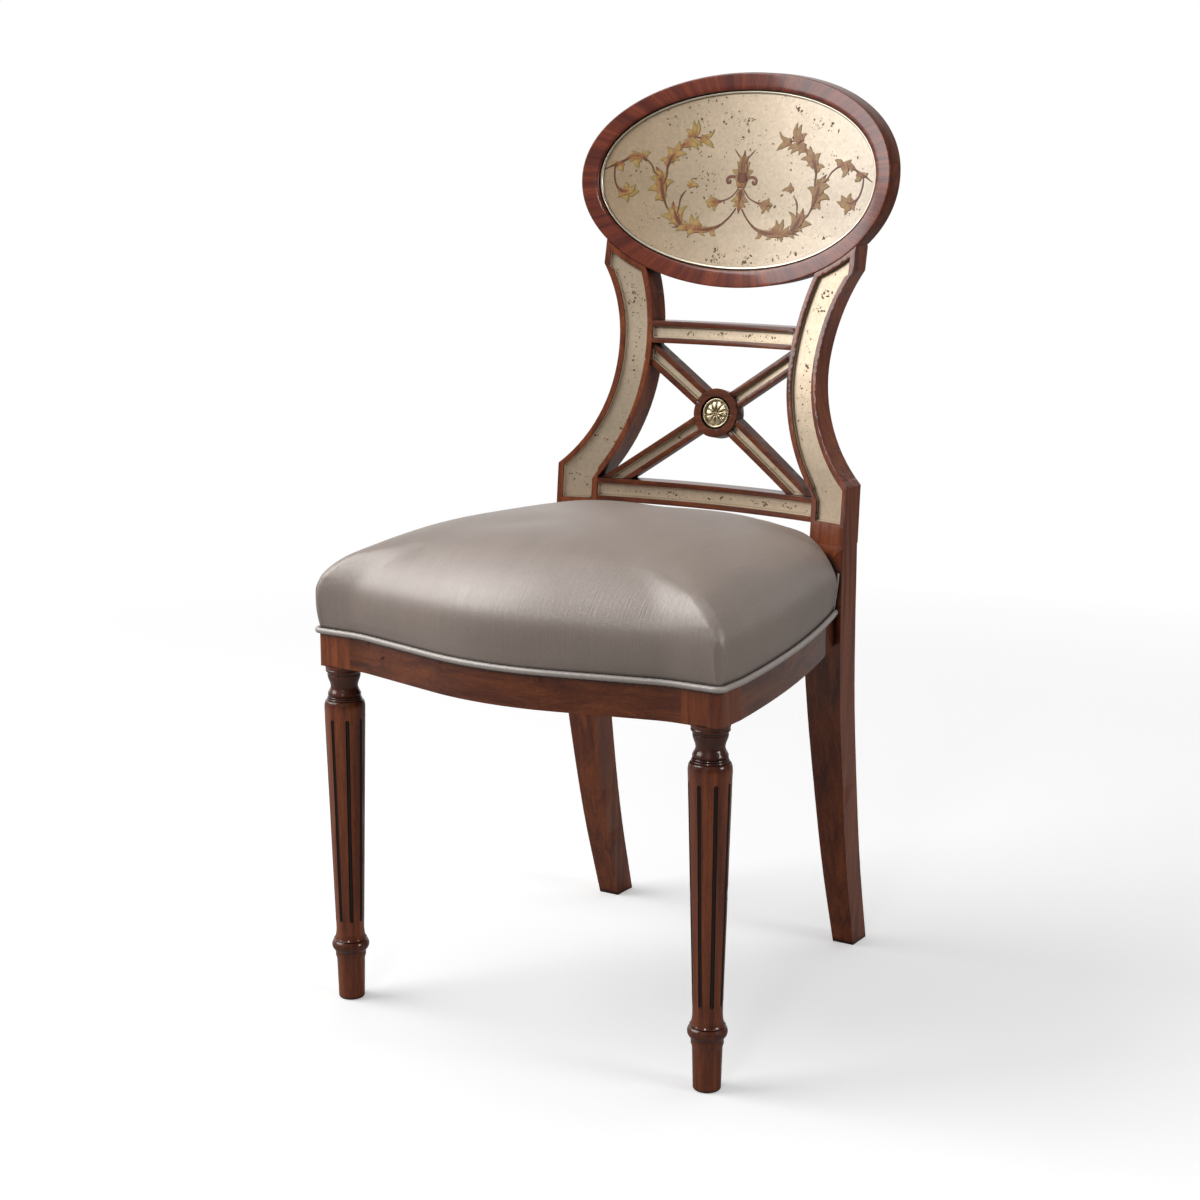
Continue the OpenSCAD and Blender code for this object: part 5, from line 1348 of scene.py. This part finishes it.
# Painted shade with dark glaze: a near-black skin in the flutes of the front legs
LEG_X = 220.4
SHAFT_LOW_Z = 79.0
SHAFT_HIGH_Z = 323.0
SHAFT_R = 21.5
SHAFT_LOW_R = 14.9
FLUTES = 8
FLUTE_R = 2.1
FLUTE_OUT = 0.4
FLUTE_LOW_Z = 88.0
FLUTE_HIGH_Z = 313.0
FLUTE_SKIN_GAP = 0.10
FLUTE_SKIN_HALF = 76.0
FLUTE_SKIN_COLUMNS = 13
FLUTE_SKIN_THICK = 0.05


def flute_lining(side):
    """The inner skin of every flute of one leg: a hollow groove with round ends."""
    taper = (SHAFT_R - SHAFT_LOW_R) / (SHAFT_HIGH_Z - SHAFT_LOW_Z)
    r = FLUTE_R - FLUTE_SKIN_GAP
    ends = np.radians(np.linspace(0, 84, 8))
    rows = [(FLUTE_LOW_Z + FLUTE_R - r * math.sin(a), r * math.cos(a)) for a in ends[::-1]]
    rows += [(z, r) for z in np.linspace(FLUTE_LOW_Z + FLUTE_R, FLUTE_HIGH_Z - FLUTE_R, 24)[1:-1]]
    rows += [(FLUTE_HIGH_Z - FLUTE_R + r * math.sin(a), r * math.cos(a)) for a in ends]
    spread_out = np.radians(np.linspace(-FLUTE_SKIN_HALF, FLUTE_SKIN_HALF, FLUTE_SKIN_COLUMNS))
    points, faces = [], []
    for turn in turns(FLUTES):
        faces += moved(grid_faces(len(rows), FLUTE_SKIN_COLUMNS, False), len(points))
        for z, reach in rows:
            middle = SHAFT_LOW_R + taper * (z - SHAFT_LOW_Z) + FLUTE_OUT
            for a in spread_out:
                x, y = turned(middle - reach * math.cos(a), reach * math.sin(a), turn)
                points.append((side * (LEG_X + x), y, z))
    return points, faces


# Each flute lined with a near-black skin: painted shade with dark glaze
for side, word in ((-1, "left"), (1, "right")):
    points, faces = flute_lining(side)
    lining = make_mesh("flute_shade_and_glaze_" + word, metres(points), faces, dark_glaze_and_shade)
    dress(thicken(lining, FLUTE_SKIN_THICK), "mahogany")

# A small dark mark in the front rail's polish
MARK = (-149.0, 390.5)
MARK_SIDES = 10
MARK_OUT = 0.12
MARK_IN = 0.4
points = []
for depth in (-MARK_OUT, MARK_IN):
    for a in turns(MARK_SIDES):
        x, z = MARK[0] + 0.9 * math.cos(a), MARK[1] + 1.7 * math.sin(a) + 0.4 * math.cos(2 * a)
        reverse = math.sqrt(REVERSE_R ** 2 - (BLOCK_IN_X + x) ** 2)
        points.append((x, BLOCK_Y - REVERSE_R + reverse + depth, z))
faces = [tuple(range(MARK_SIDES)), tuple(range(2 * MARK_SIDES - 1, MARK_SIDES - 1, -1))]
faces += grid_faces(2, MARK_SIDES, True)
dress(make_mesh("rail_mark", metres(points), faces, dark_glaze_and_shade), "mahogany")

# Lamps, world and floor.
# Each lamp: place, height that it points at over the chair's middle, size and watts
LAMPS = {
    "key": ((-2.25, -1.35, 2.55), 0.55, (2.4, 2.4), 84.0),
    "front": ((0.8, -2.9, 2.3), 0.5, (0.5, 0.5), 11.0),
    "side": ((2.7, 0.1, 1.5), 0.5, (0.8, 0.8), 16.0),
    "top": ((-0.3, 0.5, 3.0), 0.5, (3.6, 1.4), 15.0),
}
for name, (spot, target_z, size, watts) in LAMPS.items():
    data = bpy.data.lights.new(name, "AREA")
    data.shape = "RECTANGLE"
    data.size, data.size_y = size
    data.energy = watts
    lamp = bpy.data.objects.new(name, data)
    lamp.location = spot
    ahead = Vector((0, 0, target_z)) - Vector(spot)
    lamp.rotation_euler = ahead.to_track_quat("-Z", "Y").to_euler()
    scene.collection.objects.link(lamp)

world = bpy.data.worlds.new("studio")
scene.world = world
world.use_nodes = True
tree = world.node_tree
backdrop = tree.nodes["Background"]
backdrop.inputs["Color"].default_value = WHITE
path_kind = add(tree, "LightPath").outputs
mirrored = highest(tree, path_kind["Is Glossy Ray"], path_kind["Is Transmission Ray"])
heading = add(tree, "TexCoord").outputs["Generated"]
AMBIENT = 0.27
ROOM = 0.07
BACKDROP = (-0.53, 0.84, -0.10)
LEFT_WALL = (-0.86, -0.50, -0.05)
FRONT_WALL = (0.0, -1.0, 0.09)
STRIP_ACROSS = (0.330, 0.910, 0.253)
STRIP_MIDDLE = (-0.765, 0.080, 0.640)


def toward(direction):
    """Cosine between a reflected ray and a direction of the room."""
    made = add(tree, "VectorMath", {0: heading, 1: direction}, operation="DOT_PRODUCT")
    return made.outputs["Value"]


behind = ramp(tree, toward(BACKDROP), (0.30, 0.0), (0.60, 0.16), (0.97, 1.0))
wall = ramp(tree, toward(LEFT_WALL), (0.86, 0.0), (0.97, 0.40))
low_wall = ramp(tree, toward(FRONT_WALL), (0.88, 0.0), (0.98, 0.22))
strip = calc(tree, "MULTIPLY",
             ramp(tree, calc(tree, "ABSOLUTE", toward(STRIP_ACROSS)), (0.10, 1.0), (0.42, 0.0)),
             ramp(tree, toward(STRIP_MIDDLE), (0.55, 0.0), (0.82, 0.9)))
reflected = calc(tree, "MULTIPLY", mirrored, highest(tree, behind, wall, low_wall, strip, ROOM))
diffuse = calc(tree, "MULTIPLY", calc(tree, "SUBTRACT", 1, mirrored), AMBIENT)
level = calc(tree, "ADD", reflected, diffuse)
feed(tree, backdrop.inputs["Strength"], highest(tree, level, path_kind["Is Camera Ray"]))

FLOOR_HALF = 6.0
FLOOR_FADE = 3.0
floor_points = [(x * FLOOR_HALF, y * FLOOR_HALF, 0) for x, y in ((-1, -1), (1, -1), (1, 1), (-1, 1))]
floor_material, tree, shader = new_material(
    "pale_floor", Roughness=0.8, Base_Color=rgb(0.86, 0.86, 0.86)
)
from_middle = add(tree, "TexCoord").outputs["Object"]
away = add(tree, "VectorMath", {0: from_middle}, operation="LENGTH").outputs["Value"]
far = ramp(tree, calc(tree, "DIVIDE", away, FLOOR_FADE), (0.25, 0.0), (0.75, 1.0))
dull = add(tree, "BsdfDiffuse", {"Color": rgb(0.30, 0.29, 0.28)}).outputs[0]
white = add(tree, "Emission", {"Color": WHITE, "Strength": 1.0}).outputs[0]
glow = add(tree, "Emission", {"Color": WHITE, "Strength": 0.30}).outputs[0]
near_floor = add(tree, "AddShader", {0: shader.outputs[0], 1: glow}).outputs[0]
lit = add(tree, "MixShader", {0: far, 1: near_floor, 2: white}).outputs[0]
camera_ray = add(tree, "LightPath").outputs["Is Camera Ray"]
shown = add(tree, "MixShader", {0: camera_ray, 1: dull, 2: lit}).outputs[0]
feed(tree, tree.nodes["Material Output"].inputs["Surface"], shown)
floor = make_mesh("floor", floor_points, [(0, 1, 2, 3)], floor_material, False)
